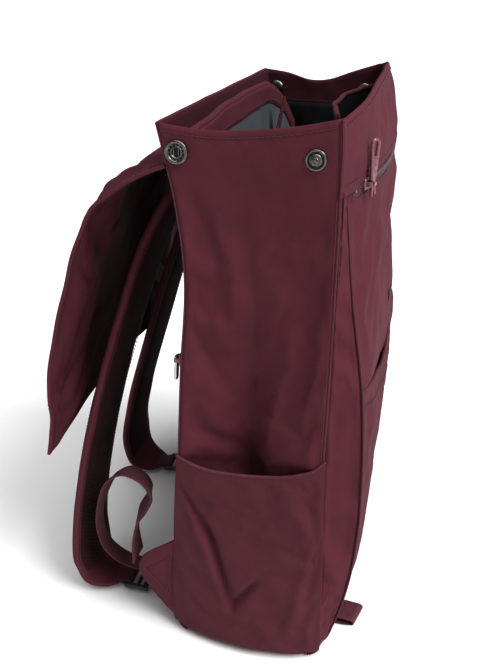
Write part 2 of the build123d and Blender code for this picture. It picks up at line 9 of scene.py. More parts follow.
import bmesh
import bpy
import numpy as np
from mathutils import Matrix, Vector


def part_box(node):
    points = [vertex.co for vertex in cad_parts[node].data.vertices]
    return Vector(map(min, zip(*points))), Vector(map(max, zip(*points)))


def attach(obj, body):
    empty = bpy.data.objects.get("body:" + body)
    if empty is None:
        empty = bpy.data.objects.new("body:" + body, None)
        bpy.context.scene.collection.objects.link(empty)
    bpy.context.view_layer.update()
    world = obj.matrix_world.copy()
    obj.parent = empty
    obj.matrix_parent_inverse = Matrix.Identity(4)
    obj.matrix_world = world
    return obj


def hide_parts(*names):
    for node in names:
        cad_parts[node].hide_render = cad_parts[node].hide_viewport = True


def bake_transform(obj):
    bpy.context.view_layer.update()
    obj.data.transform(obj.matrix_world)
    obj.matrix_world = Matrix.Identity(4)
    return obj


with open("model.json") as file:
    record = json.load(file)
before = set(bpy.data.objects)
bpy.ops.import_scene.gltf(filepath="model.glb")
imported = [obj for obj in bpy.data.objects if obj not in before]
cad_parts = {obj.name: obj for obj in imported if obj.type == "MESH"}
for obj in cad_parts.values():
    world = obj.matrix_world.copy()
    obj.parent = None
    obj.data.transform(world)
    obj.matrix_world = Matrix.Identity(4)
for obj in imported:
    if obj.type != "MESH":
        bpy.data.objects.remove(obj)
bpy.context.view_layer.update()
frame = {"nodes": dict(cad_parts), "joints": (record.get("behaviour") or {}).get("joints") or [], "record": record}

MM = 0.001
SIDES = {"left": -1, "right": 1}


def node_box(name):
    """Lowest and highest corner of a CAD node, in millimetres."""
    low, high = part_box(name)
    return np.array(low) / MM, np.array(high) / MM


# ---- driving dimensions, from the frame ----------------------------------------------------------------
HALF = node_box("side_panel_right")[1][0]  # to the outside of a side panel
POUCH_HALF = node_box("front_gusset_right")[1][0]
FLAP_HALF = node_box("flap_top_shell")[1][0] + 9  # with the hem that the stiff leaves leave out
SLIP_TOP = node_box("front_slip_pocket")[1][2]
ZIP_Z = sum(corner[2] for corner in node_box("front_zip_coil")) / 2
FACING_LOW = node_box("mouth_facing")[0][2]  # height of the hem facing's lower edge
CLOTH = 1.5  # thickness of one layer with its lining
SETTLING_FRAMES = 20

JOINTS = {joint["name"]: joint for joint in frame["joints"]}
COLOURS = {m["slot"]: m["base_color"] for m in frame["record"]["materials"]}


def pivot(joint):
    """Where a joint's axis is, in millimetres."""
    return np.array(JOINTS[joint]["pos_m"]) / MM


# ---- curves and unevenness -----------------------------------------------------------------------------
def curve_through(pairs):
    """A smooth function through (place, value) pairs, level beyond its ends."""
    place, value = np.array(sorted(pairs), float).T
    slope = np.gradient(value, place)

    def at(where):
        where = np.clip(where, place[0], place[-1])
        i = np.clip(np.searchsorted(place, where, side="right") - 1, 0, len(place) - 2)
        span = place[i + 1] - place[i]
        t = (where - place[i]) / span
        start = (2 * t**3 - 3 * t**2 + 1) * value[i] + (t**3 - 2 * t**2 + t) * span * slope[i]
        return start + (3 * t**2 - 2 * t**3) * value[i + 1] + (t**3 - t**2) * span * slope[i + 1]

    return at


def smooth_route(points, step):
    """Evenly spaced points, about step apart, on a smooth line through the given ones."""
    points = np.array(points, float)
    along = np.concatenate([[0], np.cumsum(np.linalg.norm(np.diff(points, axis=0), axis=1))])
    fine = np.linspace(0, along[-1], 40 * len(points))
    line = np.stack([curve_through(list(zip(along, column)))(fine) for column in points.T], -1)
    run = np.concatenate([[0], np.cumsum(np.linalg.norm(np.diff(line, axis=0), axis=1))])
    places = np.linspace(0, run[-1], max(int(run[-1] / step), 2) + 1)
    return np.stack([np.interp(places, run, column) for column in line.T], -1)


def unit(vectors):
    return vectors / np.maximum(np.linalg.norm(vectors, axis=-1, keepdims=True), 1e-9)


def ease(value, low, high):
    """0 below low and 1 above high, smooth between them."""
    t = np.clip((value - low) / (high - low), 0, 1)
    return t * t * (3 - 2 * t)


def ripple(u, v, size, seed, octaves=3):
    """Smooth seeded unevenness of about -1 to 1 over (u, v), with bumps of about that size."""
    rng = np.random.default_rng(seed)
    total = np.zeros(np.broadcast(u, v).shape)
    for octave in range(octaves):
        for _ in range(5):
            turn, phase = rng.uniform(0, 2 * math.pi, 2)
            rate = 2 * math.pi / size * 1.8**octave * rng.uniform(0.7, 1.3)
            total += np.sin(rate * (u * math.cos(turn) + v * math.sin(turn)) + phase) * 0.5**octave
    return total / 4


def fold(u, v, start, end, width, height):
    """A fold line in the cloth from start to end, dying out at both ends."""
    run = np.array(end, float) - start
    length = np.hypot(*run)
    along = ((u - start[0]) * run[0] + (v - start[1]) * run[1]) / length**2
    across = ((u - start[0]) * run[1] - (v - start[1]) * run[0]) / length
    return height * np.exp(-((across / width) ** 2)) * np.sin(math.pi * np.clip(along, 0, 1)) ** 0.7


def folds(u, v, lines, base=0.0, share=1.0):
    """base with the folds of a list of (start, end, width, height) added, each height times share."""
    for start, end, width, height in lines:
        base = base + fold(u, v, start, end, width, height * share)
    return base


def spaced(count, crowd=0.5):
    """Numbers from 0 to 1, closer together near both ends."""
    even = np.linspace(0, 1, count)
    return (1 - crowd) * even + crowd * (0.5 - 0.5 * np.cos(math.pi * even))


def shares(rows, columns, crowd=0.3):
    """Two grids: the share of the way down each row, and the share across each column, both from 0 to 1."""
    return np.meshgrid(spaced(rows, crowd), spaced(columns), indexing="ij")


def wall_shares(rows, columns, crowd=0.3):
    """As shares, with the place across running from -1 to 1."""
    share, across = shares(rows, columns, crowd)
    return share, 2 * across - 1


def xyz(x, y, z):
    """Points from coordinates, any of which may be one number for all."""
    return np.stack(np.broadcast_arrays(x, y, z), -1)


# ---- making pieces -------------------------------------------------------------------------------------
class Piece:
    """Collects points in millimetres, faces and UVs in metres of cloth, then becomes one object."""

    def __init__(self):
        self.points, self.faces, self.uvs, self.kinds, self.count = [], [], [], [], 0

    def add(self, points, faces, uv=None, kind=0):
        points = np.asarray(points, float).reshape(-1, 3)
        self.points.append(points)
        self.uvs.append(points[:, :2] * MM if uv is None else np.asarray(uv).reshape(-1, 2) * MM)
        self.faces += [tuple(int(i) + self.count for i in face) for face in faces]
        self.kinds += [kind] * len(faces)
        self.count += len(points)
        return self

    def cloth(self, grid, thick=CLOTH, toward=(0, 0, 1), kind=0, back=None):
        """A sheet from a grid of points on its outer face, with a back face and a rolled edge."""
        rows, columns = grid.shape[:2]
        normal = unit(np.cross(np.gradient(grid, axis=1), np.gradient(grid, axis=0)))
        if normal.reshape(-1, 3).mean(0) @ np.array(toward, float) < 0:
            normal = -normal
        inner = grid - normal * thick
        uv = grid_uv(grid)
        index, quads = grid_faces(rows, columns)
        border = border_of(rows, columns)
        inward = [(min(max(i, 1), rows - 2), min(max(j, 1), columns - 2)) for i, j in border]
        at = tuple(np.array(border).T)
        out = unit(grid[at] - grid[tuple(np.array(inward).T)])
        edge = (grid[at] + inner[at]) / 2 + out * thick * 0.45
        size = rows * columns
        outer_ids = index[at]
        first = 2 * size
        ring = []
        for k in range(len(border)):
            a, b = outer_ids[k], outer_ids[(k + 1) % len(border)]
            c, d = first + (k + 1) % len(border), first + k
            ring += [(a, b, c, d), (d, c, b + size, a + size)]
        points = np.concatenate([grid.reshape(-1, 3), inner.reshape(-1, 3), edge])
        every_uv = np.concatenate([uv.reshape(-1, 2), uv.reshape(-1, 2), uv[at]])
        flipped = [tuple(q[::-1] + size) for q in quads]
        start = len(self.faces)
        self.add(points, list(map(tuple, quads)) + flipped + ring, every_uv, kind)
        if back is not None:
            for f in range(start + len(quads), start + 2 * len(quads)):
                self.kinds[f] = back
        return self

    def tube(self, path, radius, kind=0, sides=8, flat=1.0, up=(0, 0, 1), closed=False):
        """A rod along a path; flat squeezes it along up."""
        path = np.asarray(path, float)
        way = unit(np.gradient(path, axis=0))
        side = unit(np.cross(way, np.broadcast_to(np.array(up, float), way.shape)))
        over = np.cross(side, way)
        turn = np.linspace(0, 2 * math.pi, sides, endpoint=False)
        section = side[:, None] * np.cos(turn)[:, None] + over[:, None] * np.sin(turn)[:, None] * flat
        return self.loft(path[:, None] + section * radius, kind, closed=closed)

    def loft(self, rings, kind=0, closed=False):
        """A closed skin through rings of points, with flat ends unless it closes on itself."""
        count, sides = rings.shape[:2]
        index = np.arange(count * sides).reshape(count, sides)
        last = count if closed else count - 1
        faces = [
            (index[i, j], index[i, (j + 1) % sides], index[(i + 1) % count, (j + 1) % sides],
             index[(i + 1) % count, j])
            for i in range(last) for j in range(sides)
        ]
        if not closed:
            faces += [tuple(index[0][::-1]), tuple(index[-1])]
        girth = np.cumsum(np.linalg.norm(np.diff(rings, axis=1, append=rings[:, :1]), axis=2), axis=1)
        run = np.cumsum(np.linalg.norm(np.diff(rings.mean(1), axis=0, prepend=rings.mean(1)[:1]), axis=1))
        return self.add(rings, faces, np.stack([girth, np.broadcast_to(run[:, None], girth.shape)], -1), kind)

    def stitches(self, path, normal, kind=0, pitch=3.4, length=2.3, radius=0.32):
        """A row of thread stitches lying on a surface along a path."""
        spots = smooth_route(path, pitch)
        normal = np.atleast_2d(np.array(normal, float))
        along, known = np.linspace(0, 1, len(spots)), np.linspace(0, 1, len(normal))
        normals = unit(np.stack([np.interp(along, known, column) for column in normal.T], -1))
        for start, end, up in zip(spots[:-1], spots[1:], normals):
            way = unit(end - start)
            middle = (start + end) / 2
            reach = [-0.5, -0.3, 0.3, 0.5]
            lift = [-0.25, 0.3, 0.3, -0.25]
            path_points = [middle + way * length * r + up * radius * h for r, h in zip(reach, lift)]
            self.tube(path_points, radius, kind, sides=6, up=up)
        return self

    def lathe(self, profile, centre, axis, kind=0, sides=40):
        """A turned shape from (radius, distance along the axis) pairs, closed at both ends."""
        axis = unit(np.array(axis, float))
        across = unit(np.cross(axis, [0.3, 0.5, 0.8]))
        third = np.cross(axis, across)
        turn = np.linspace(0, 2 * math.pi, sides, endpoint=False)
        around = across * np.cos(turn)[:, None] + third * np.sin(turn)[:, None]
        rings = np.stack([np.array(centre) + around * r + axis * h for r, h in profile])
        return self.loft(rings, kind)

    def slab(self, centre, across, along, size, round_off=0.25, kind=0, sides=5):
        """A block with rounded corners and softened faces, size (across, along, thick)."""
        across, along = unit(np.array(across, float)), unit(np.array(along, float))
        up = np.cross(across, along)
        radius = min(size[0], size[1]) * round_off
        corners = [(1, 1, 0), (-1, 1, 90), (-1, -1, 180), (1, -1, 270)]
        outline = []
        for sx, sy, start in corners:
            for k in range(sides):
                angle = math.radians(start + 90 * k / (sides - 1))
                outline.append((sx * (size[0] / 2 - radius) + radius * math.cos(angle),
                                sy * (size[1] / 2 - radius) + radius * math.sin(angle)))
        outline = np.array(outline)
        soft = min(size[2] * 0.3, radius)
        rings = []
        level = soft / size[2]
        for height, shrink in ((-0.5, soft), (-0.5 + level, 0), (0.5 - level, 0), (0.5, soft)):
            scale = 1 - shrink / (np.array(size[:2]) / 2)
            flat = outline * scale
            ring = np.array(centre) + flat[:, :1] * across + flat[:, 1:] * along
            rings.append(ring + up * size[2] * height)
        return self.loft(np.stack(rings), kind)

    def done(self, name, materials, body=None, slot=None, replaces=(), smooth=True, angle=50):
        """Makes the object. body is a CAD body, or (a, b, start, end) for a piece between two bodies, which is
        then only baked in place and attached to neither.
        """
        mesh = bpy.data.meshes.new(name)
        mesh.from_pydata(np.concatenate(self.points) * MM, [], self.faces)
        uv = np.concatenate(self.uvs)
        corner = np.zeros(len(mesh.loops), np.int32)
        mesh.loops.foreach_get("vertex_index", corner)
        layer = mesh.uv_layers.new(name="cloth")
        layer.data.foreach_set("uv", uv[corner].astype(np.float32).ravel())
        mesh.polygons.foreach_set("material_index", np.array(self.kinds, np.int32))
        for material in materials if isinstance(materials, (list, tuple)) else [materials]:
            mesh.materials.append(material)
        shaped = bmesh.new()
        shaped.from_mesh(mesh)
        bmesh.ops.recalc_face_normals(shaped, faces=shaped.faces)
        shaped.to_mesh(mesh)
        shaped.free()
        mesh.polygons.foreach_set("use_smooth", [smooth] * len(mesh.polygons))
        if smooth:
            mesh.set_sharp_from_angle(angle=math.radians(angle))
        obj = bpy.data.objects.new(name, mesh)
        bpy.context.scene.collection.objects.link(obj)
        if replaces:
            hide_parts(*replaces)
        if isinstance(body, tuple):
            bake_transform(obj)
        else:
            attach(obj, body)
        return obj


def grid_faces(rows, columns):
    """The point numbers of a grid, and its four-sided faces."""
    index = np.arange(rows * columns).reshape(rows, columns)
    corners = [index[:-1, :-1], index[:-1, 1:], index[1:, 1:], index[1:, :-1]]
    return index, np.stack(corners, -1).reshape(-1, 4)


def border_of(rows, columns):
    """The (row, column) pairs round a grid's border, in order."""
    top = [(0, j) for j in range(columns - 1)]
    right = [(i, columns - 1) for i in range(rows - 1)]
    bottom = [(rows - 1, j) for j in range(columns - 1, 0, -1)]
    left = [(i, 0) for i in range(rows - 1, 0, -1)]
    return top + right + bottom + left


def grid_uv(grid):
    """Distances along a grid's columns and rows, as flat cloth coordinates."""
    across = np.cumsum(np.linalg.norm(np.diff(grid, axis=1, prepend=grid[:, :1]), axis=2), axis=1)
    down = np.cumsum(np.linalg.norm(np.diff(grid, axis=0, prepend=grid[:1]), axis=2), axis=0)
    return np.stack([across - across[:, -1:] / 2, down], -1)


def cloth_object(grid, grow, held, gravity, seed):
    """A plain cloth ready to be simulated, slightly uneven and longer than its grid by a share of grow."""
    rows, columns = grid.shape[:2]
    _, quads = grid_faces(rows, columns)
    mesh = bpy.data.meshes.new("settling")
    start = grid.reshape(-1, 3) + np.random.default_rng(seed).normal(0, 0.05, (rows * columns, 3))
    mesh.from_pydata(start * MM, [], [tuple(map(int, q)) for q in quads])
    obj = bpy.data.objects.new("settling", mesh)
    bpy.context.scene.collection.objects.link(obj)
    group = obj.vertex_groups.new(name="held")
    for i, weight in enumerate(held.ravel()):
        if weight > 0:
            group.add([i], float(weight), "REPLACE")
    cloth = obj.modifiers.new("cloth", "CLOTH")
    s = cloth.settings
    s.vertex_group_mass = "held"
    s.shrink_min = s.shrink_max = -grow
    s.quality = 4
    s.mass = 0.3
    s.tension_stiffness = s.compression_stiffness = 20
    s.shear_stiffness = 8
    s.bending_stiffness = 0.6
    s.effector_weights.gravity = gravity
    cloth.collision_settings.use_collision = False
    return obj


def settled(grid, grow, cap, seed, held=None, gravity=0.0, still_above=1e9):
    """The grid after a short cloth simulation, held at its border, its cloth longer by a share of grow.

    No point moves more than cap, and the cloth's edges and everything near or over still_above stay put.
    """
    rows, columns = grid.shape[:2]
    if held is None:
        held = np.zeros((rows, columns))
        held[[0, -1]] = held[:, [0, -1]] = 1
    obj = cloth_object(grid, grow, held, gravity, seed)
    mesh, scene = obj.data, bpy.context.scene
    for number in range(1, SETTLING_FRAMES + 1):
        scene.frame_set(number)
    found = obj.evaluated_get(bpy.context.evaluated_depsgraph_get())
    moved = np.zeros(rows * columns * 3)
    found.data.vertices.foreach_get("co", moved)
    scene.frame_set(1)
    bpy.data.objects.remove(obj)
    bpy.data.meshes.remove(mesh)
    step = moved.reshape(-1, 3) / MM - grid.reshape(-1, 3)
    length = np.linalg.norm(step, axis=1, keepdims=True)
    step *= np.minimum(1, cap / np.maximum(length, 1e-9))
    i, j = np.indices((rows, columns))
    from_edge = np.minimum(np.minimum(i, rows - 1 - i), np.minimum(j, columns - 1 - j))
    free = ease(from_edge, 1, 9) * (1 - ease(grid[..., 2], still_above - 30, still_above))
    return grid + step.reshape(grid.shape) * free[..., None]


# ---- materials -----------------------------------------------------------------------------------------
class Shader:
    """A Principled material under construction."""

    def __init__(self, name, colour, roughness, metallic=0.0, sheen=0.0, coat=0.0, specular=0.5):
        self.material = bpy.data.materials.new(name)
        self.material.use_nodes = True
        self.tree = self.material.node_tree
        self.principled = self.tree.nodes["Principled BSDF"]
        self.colour = (*colour, 1)
        self.set("Base Color", self.colour)
        self.set("Roughness", roughness)
        self.set("Metallic", metallic)
        self.set("Sheen Weight", sheen)
        self.set("Sheen Roughness", 0.45)
        self.set("Sheen Tint", (*[min(1, 0.35 + c * 2) for c in colour], 1))
        self.set("Coat Weight", coat)
        self.set("Specular IOR Level", specular)
        self.height = None

    def set(self, socket, value):
        self.principled.inputs[socket].default_value = value

    def node(self, kind, inputs=(), **settings):
        made = self.tree.nodes.new(kind)
        for key, value in settings.items():
            setattr(made, key, value)
        for socket, value in dict(inputs).items():
            if isinstance(value, bpy.types.NodeSocket):
                self.tree.links.new(value, made.inputs[socket])
            else:
                made.inputs[socket].default_value = value
        return made

    def place(self, scale, source="UV"):
        """Coordinates in metres times scale."""
        coordinates = self.node("ShaderNodeTexCoord").outputs[source]
        return self.node("ShaderNodeMapping", {"Vector": coordinates, "Scale": scale}).outputs["Vector"]

    def math(self, operation, a, b=0.0):
        return self.node("ShaderNodeMath", {0: a, 1: b}, operation=operation).outputs[0]

    def noise(self, scale, detail=3.0, source="UV"):
        where = self.place(scale, source)
        return self.node("ShaderNodeTexNoise", {"Vector": where, "Scale": 1.0, "Detail": detail,
                                                "Roughness": 0.55}).outputs["Fac"]

    def grain(self, size, detail):
        """Noise with about size bumps a metre, the same in all directions."""
        return self.noise((size, size, size), detail, "Object")

    def between(self, fac, low, high):
        found = self.node("ShaderNodeMapRange", {"Value": fac, "From Min": 0.3, "From Max": 0.7,
                                                 "To Min": low, "To Max": high})
        return found.outputs["Result"]

    def shade(self, fac, low, high):
        """Makes the colour darker and lighter by fac."""
        amount = self.between(fac, low, high)
        value = self.node("ShaderNodeHueSaturation", {"Value": amount, "Color": self.colour})
        self.tree.links.new(value.outputs["Color"], self.principled.inputs["Base Color"])

    def rough(self, fac, low, high):
        self.tree.links.new(self.between(fac, low, high), self.principled.inputs["Roughness"])

    def bump(self, height, distance, strength=1.0):
        inputs = {"Height": height, "Distance": distance, "Strength": strength}
        if self.height is not None:
            inputs["Normal"] = self.height
        self.height = self.node("ShaderNodeBump", inputs).outputs["Normal"]
        self.tree.links.new(self.height, self.principled.inputs["Normal"])


# A low gain also paints shade: it makes a darker copy of a colour for cloth or metal that sits in shade.
def dimmed(slot, gain):
    """A record colour, darkened by gain so that the render looks like the photograph."""
    return [channel * gain for channel in COLOURS[slot]]


def woven(name, slot, pitch=0.6, sheen=0.03, roughness=(0.68, 0.86), slub=0.14, depth=0.00012, gain=1.0):
    """Twill or plain cloth: fine diagonal threads, slubs both ways and slow colour variation."""
    shader = Shader(name, dimmed(slot, gain), 0.7, sheen=sheen, specular=0.12)
    per_metre = 1 / (pitch * MM)
    warp = shader.node("ShaderNodeTexWave", {"Vector": shader.place((per_metre, 0, 0)), "Scale": 0.318,
                                             "Distortion": 0.6, "Detail": 1.0, "Detail Scale": 0.5})
    both_ways = shader.place((per_metre, per_metre, 0))
    twill = shader.node("ShaderNodeTexWave", {"Vector": both_ways, "Scale": 0.225, "Distortion": 0.8,
                                              "Detail": 1.0}, bands_direction="DIAGONAL")
    weave = shader.math("ADD", shader.math("MULTIPLY", warp.outputs["Fac"], 0.4), twill.outputs["Fac"])
    across = shader.noise((60, 1400, 1))
    down = shader.noise((1400, 60, 1))
    slubs = shader.math("MULTIPLY", shader.math("ADD", across, down), 0.5)
    slow = shader.noise((14, 14, 1), 2)
    mixed = shader.math("ADD", shader.math("MULTIPLY", slubs, 0.6), shader.math("MULTIPLY", slow, 0.4))
    shader.shade(mixed, 1 - slub, 1 + slub)
    shader.rough(slubs, *roughness)
    shader.bump(weave, depth, 0.4)
    shader.bump(slubs, 0.0005, 0.35)
    shader.bump(shader.noise((45, 45, 1), 3), 0.004, 0.16)
    return shader.material


def mesh_cloth(name, slot):
    """Spacer mesh: rows of small open cells over its modelled ribs."""
    shader = Shader(name, dimmed(slot, 0.5), 0.85, sheen=0.06, specular=0.2)
    cells = shader.node("ShaderNodeTexVoronoi", {"Vector": shader.place((620, 620, 1)), "Scale": 1.0,
                                                 "Randomness": 0.25})
    shader.shade(cells.outputs["Distance"], 1.15, 0.72)
    shader.rough(shader.noise((300, 300, 1)), 0.75, 0.95)
    shader.bump(cells.outputs["Distance"], 0.0006, 0.7)
    return shader.material


def tape(name, slot):
    """Woven webbing: fine ribs across the tape and a slow variation along it."""
    shader = Shader(name, dimmed(slot, 0.8), 0.6, sheen=0.06, specular=0.3)
    ribs = shader.node("ShaderNodeTexWave", {"Vector": shader.place((1, 900, 0)), "Scale": 0.318,
                                             "Distortion": 0.5}, bands_direction="Y")
    cords = shader.node("ShaderNodeTexWave", {"Vector": shader.place((520, 1, 0)), "Scale": 0.318,
                                              "Distortion": 0.3})
    weave = shader.math("MULTIPLY", ribs.outputs["Fac"], cords.outputs["Fac"])
    shader.shade(shader.noise((90, 400, 1)), 0.86, 1.14)
    shader.rough(shader.noise((500, 500, 1)), 0.5, 0.7)
    shader.bump(weave, 0.00035, 0.7)
    return shader.material


def moulded(name, slot, roughness, coat=0.0):
    """Moulded plastic with a fine grain."""
    shader = Shader(name, COLOURS[slot], sum(roughness) / 2, coat=coat)
    shader.shade(shader.grain(150, 3), 0.9, 1.1)
    shader.rough(shader.grain(700, 3), *roughness)
    shader.bump(shader.grain(1800, 2), 0.0001, 0.35)
    return shader.material


def metal(name, slot, roughness, tarnish=0.35, gain=1.0):
    """Plated metal, darker where it's tarnished and brighter where it's rubbed."""
    shader = Shader(name, dimmed(slot, gain), sum(roughness) / 2, metallic=1.0)
    wear = shader.grain(420, 5)
    shader.shade(wear, 1 - tarnish, 1 + tarnish)
    shader.rough(shader.grain(900, 4), *roughness)
    shader.bump(shader.grain(1300, 3), 0.00008, 0.4)
    return shader.material


def thread(name, slot, gain):
    """Sewing thread, twisted."""
    shader = Shader(name, dimmed(slot, gain), 0.55, sheen=0.3)
    shader.shade(shader.grain(900, 2), 0.85, 1.15)
    shader.bump(shader.grain(2500, 1), 0.0001, 0.5)
    return shader.material


SHELL = woven("shell_twill", "shell_cloth", gain=0.8)
BOTTOM = woven("bottom_twill", "bottom_cloth", sheen=0.12, roughness=(0.5, 0.68))
POCKET = woven("pocket_twill", "pocket_cloth", gain=0.8)
FACING_CLOTH = woven("facing_twill", "facing_cloth", gain=0.72)
# Facing cloth at a much lower gain, painted shade for the inside of the mouth.
MOUTH_SHADED_CLOTH = woven("mouth_facing_painted_shade", "facing_cloth", gain=0.4)
# Shell cloth at a lower gain and with no sheen, painted shade for the flap's underside.
SHADED_UNDERSIDE = woven("underside_painted_shade", "shell_cloth", sheen=0.0, gain=0.72)
# Lining cloth at a third of its colour, painted shade for the inside of the bag.
SHADED_LINING = woven("lining_plain_painted_shade", "lining_cloth", pitch=0.5, gain=0.3, roughness=(0.5, 0.7), depth=0.00006)
GREY = woven("grey_lining_plain", "grey_lining", pitch=0.5, gain=0.75, roughness=(0.38, 0.6), depth=0.00006)
MESH = mesh_cloth("spacer_mesh", "air_mesh")
WEBBING = tape("webbing", "webbing_tape")
BINDING = tape("binding_tape", "shell_cloth")
ZIP_TAPE = tape("zip_tape_weave", "zip_tape")
COIL = moulded("zip_coil_nylon", "zip_coil", (0.3, 0.45))
LOCK = moulded("lock_acetal", "lock_plastic", (0.35, 0.55))
PULL = moulded("pull_gloss", "pull_plastic", (0.22, 0.34), coat=0.3)
BOARD = moulded("board_sheet", "board_plastic", (0.45, 0.6))
SNAP = metal("snap_antique", "snap_metal", (0.24, 0.42), gain=0.5)
# Snap metal at a tenth of its colour, painted shade in the sockets' recesses and round the studs' posts.
SNAP_PAINTED_SHADE = metal("snap_recess_painted_shade", "snap_metal", (0.35, 0.55), gain=0.1)
SLIDER = moulded("slider_paint", "slider_metal", (0.22, 0.36), coat=0.3)
NICKEL = metal("pull_nickel", "pull_metal", (0.25, 0.4), tarnish=0.15)
BADGE = metal("badge_dark", "badge_metal", (0.3, 0.42), tarnish=0.12)
THREAD = thread("thread_wine", "shell_cloth", 0.5)
DARK_THREAD = thread("thread_dark", "bottom_cloth", 0.6)

# ---- the shell's surfaces ------------------------------------------------------------------------------
# y of the side panels' back and front edges, and of the pouch at its side edges and in its middle, by height.
back_edge = curve_through([(0, 52), (5, 57.5), (14, 60), (40, 60.5), (110, 56), (190, 50.4), (260, 45.6),
                           (340, 40), (380, 44), (430, 54)])
front_edge = curve_through([(0, -54), (5, -60), (16, -62.5), (40, -62), (110, -60), (190, -57), (260, -57),
                            (340, -56.5), (380, -56), (434, -54)])
pouch_edge = curve_through([(0, -58), (12, -67), (30, -72.5), (75, -81), (130, -85), (185, -84), (258, -78),
                            (325, -66.5), (386, -58.5)])
pouch_middle = curve_through([(0, -61), (12, -70), (30, -75), (75, -83), (130, -87), (185, -88), (258, -85),
                              (325, -80), (386, -76.5)])

# Heights of the rim: along each side from the back, and along the front from left to right.
RIM = {
    -1: curve_through([(0, 428), (0.12, 426), (0.34, 424.5), (0.54, 426), (0.8, 429.5), (1, 434)]),
    1: curve_through([(0, 428), (0.2, 425), (0.42, 419), (0.56, 420), (0.76, 427), (1, 435)]),
}
RIM_FRONT = curve_through([(-142, 434), (-95, 440), (0, 446), (95, 441), (142, 435)])
RIM_BACK = 428.0
PANEL_LOW = 0.6  # height of the side panels' lower edges
SIDE_SEED = {-1: 11, 1: 29}
RIM_STITCH = 3.6  # how far below the rim its row of stitches runs
ZIP_STITCH = 6.4  # how far the rows beside the front zip run from its middle
WELT = 0.8  # radius of the corded seams

# The side panel's valley: its depth by height, where it lies, and where the facet in front of it ends.
valley_depth = curve_through([(0, 2), (60, 11), (120, 18), (190, 23), (250, 20), (310, 13.5), (360, 7.5),
                              (395, 2.5), (435, 0)])
valley_place = curve_through([(0, 0.5), (190, 0.5), (245, 0.49), (320, 0.45), (385, 0.43)])
facet_end = curve_through([(0, 0.62), (190, 0.6), (221, 0.6), (303, 0.8), (368, 0.93), (400, 0.95)])


# The side panel's folds, in y and z: start, end, width and depth, negative where they stand out.
SIDE_FOLDS = [
    ((50, 300), (14, 232), 5, 1.6), ((46, 330), (10, 262), 7, -1.8), ((36, 398), (8, 300), 7, -2.6),
    ((-30, 330), (-8, 205), 6, -2.4), ((25, 395), (-42, 388), 12, 1.6), ((44, 240), (16, 205), 7, -2.0),
    ((48, 215), (12, 192), 6, 2.5), ((-48, 300), (-34, 215), 5, -1.8),
]


def side_depth(t, z, seed):
    """How far a side panel stands in from the side, t from 0 at its back edge to 1 at its front edge."""
    deep, at, end = valley_depth(z), valley_place(z), facet_end(z)
    behind = deep * np.clip(t / at, 0, 1) ** 1.25
    ledge = deep * 0.26
    facet = deep - (deep - ledge) * np.clip((t - at) / (end - at), 0, 1)
    beyond = ledge * np.clip((1 - t) / (1 - end), 0, 1) ** 1.1
    depth = np.where(t < at, behind, np.where(t < end, facet, beyond))
    y = (1 - 2 * t) * 55
    soft = np.sin(math.pi * np.clip(t, 0, 1)) ** 0.6
    depth += soft * (ripple(y, z, 120, seed) * 1.3 + ripple(y, z, 38, seed + 1) * 0.45)
    return folds(y, z, SIDE_FOLDS, depth)


def seam_dip(t, length, depth=1.5, width=1.7):
    """The groove that a panel's edge falls into along a seam, t from 0 to 1 over that length."""
    near = np.minimum(t, 1 - t) * length
    return depth * np.exp(-((near / width) ** 2))


def foot_tuck(z):
    """How far the base's long edges are tucked in near the floor."""
    return 9.0 * (1 - ease(z, 0, 13))


def side_point(side, t, z, inset=0.0):
    """A point on a side panel's outer face, or inset behind it."""
    back, front = back_edge(z), front_edge(z)
    y = back + t * (front - back)
    depth = side_depth(t, z, SIDE_SEED[side]) + seam_dip(t, 110) + foot_tuck(z)
    return xyz(side * (HALF - depth - inset), y, z)


def side_grid(side):
    share, t = shares(150, 56)
    z = PANEL_LOW + share * (RIM[side](t) - PANEL_LOW)
    return side_point(side, t, z)


def band_y(x, z):
    """y of the front band's outer face."""
    edge = front_edge(z) - 1.2
    middle = np.interp(z, [390, 404, 435, 446], [-78, -76.5, -70.5, -66.5])
    return edge + (middle - edge) * (1 - np.abs(x / HALF) ** 2.2) + ripple(x, z, 90, 5) * 0.9


def band_grid(rows, columns):
    """The front band above the zip, up to the rim."""
    share, across = wall_shares(rows, columns)
    x = across * HALF
    low = ZIP_Z + zip_gap(x)
    z = low + share * (RIM_FRONT(x) - low)
    return xyz(x, band_y(x, z), z)


def zip_gap(x):
    """Half the height of the gap that shows the front zip, closed past its ends."""
    return 2.6 * np.clip((122 - np.abs(x)) / 5, 0.1, 1)


def bulge(x, half=None, power=2.3):
    return 1 - np.abs(x / (half or POUCH_HALF)) ** power


# ---- the bag -------------------------------------------------------------------------------------------
def sides():
    for name, side in SIDES.items():
        grid = settled(side_grid(side), 0.014, cap=4, seed=3, still_above=396)
        piece = Piece().cloth(grid, CLOTH, (side, 0, 0), back=1)
        t = np.linspace(0.02, 0.98, 60)
        piece.stitches(side_point(side, t, RIM[side](t) - RIM_STITCH, -0.1), (side, 0, 0), 2)
        piece.done(f"shell_side_{name}", [SHELL, SHADED_LINING, THREAD], "pack", "shell_cloth",
                   [f"side_panel_{name}"])
        welt = Piece()
        for edge, top in ((back_edge, 428), (front_edge, 433)):
            z = np.linspace(6, top, 90)
            welt.tube(xyz(side * (HALF - 1.5 - foot_tuck(z)), edge(z), z), WELT, up=(side, 0, 0))
        welt.done(f"seam_welts_{name}", BINDING, "pack", "shell_cloth")


def back_wall():
    share, across = wall_shares(120, 80)
    x, low = across * (HALF - 0.6), 0.8
    z = low + share * (RIM_BACK - low)
    y = back_edge(z) - seam_dip((x / HALF + 1) / 2, 2 * HALF) + ripple(x, z, 130, 7) * 0.8 * bulge(x, HALF)
    grid = settled(xyz(x, y, z), 0.008, cap=3, seed=4, still_above=390)
    piece = Piece().cloth(grid, CLOTH, (0, 1, 0), back=1)
    piece.done("shell_back", [SHELL, FACING_CLOTH], "pack", "shell_cloth", ["back_panel_shell", "back_foam"])


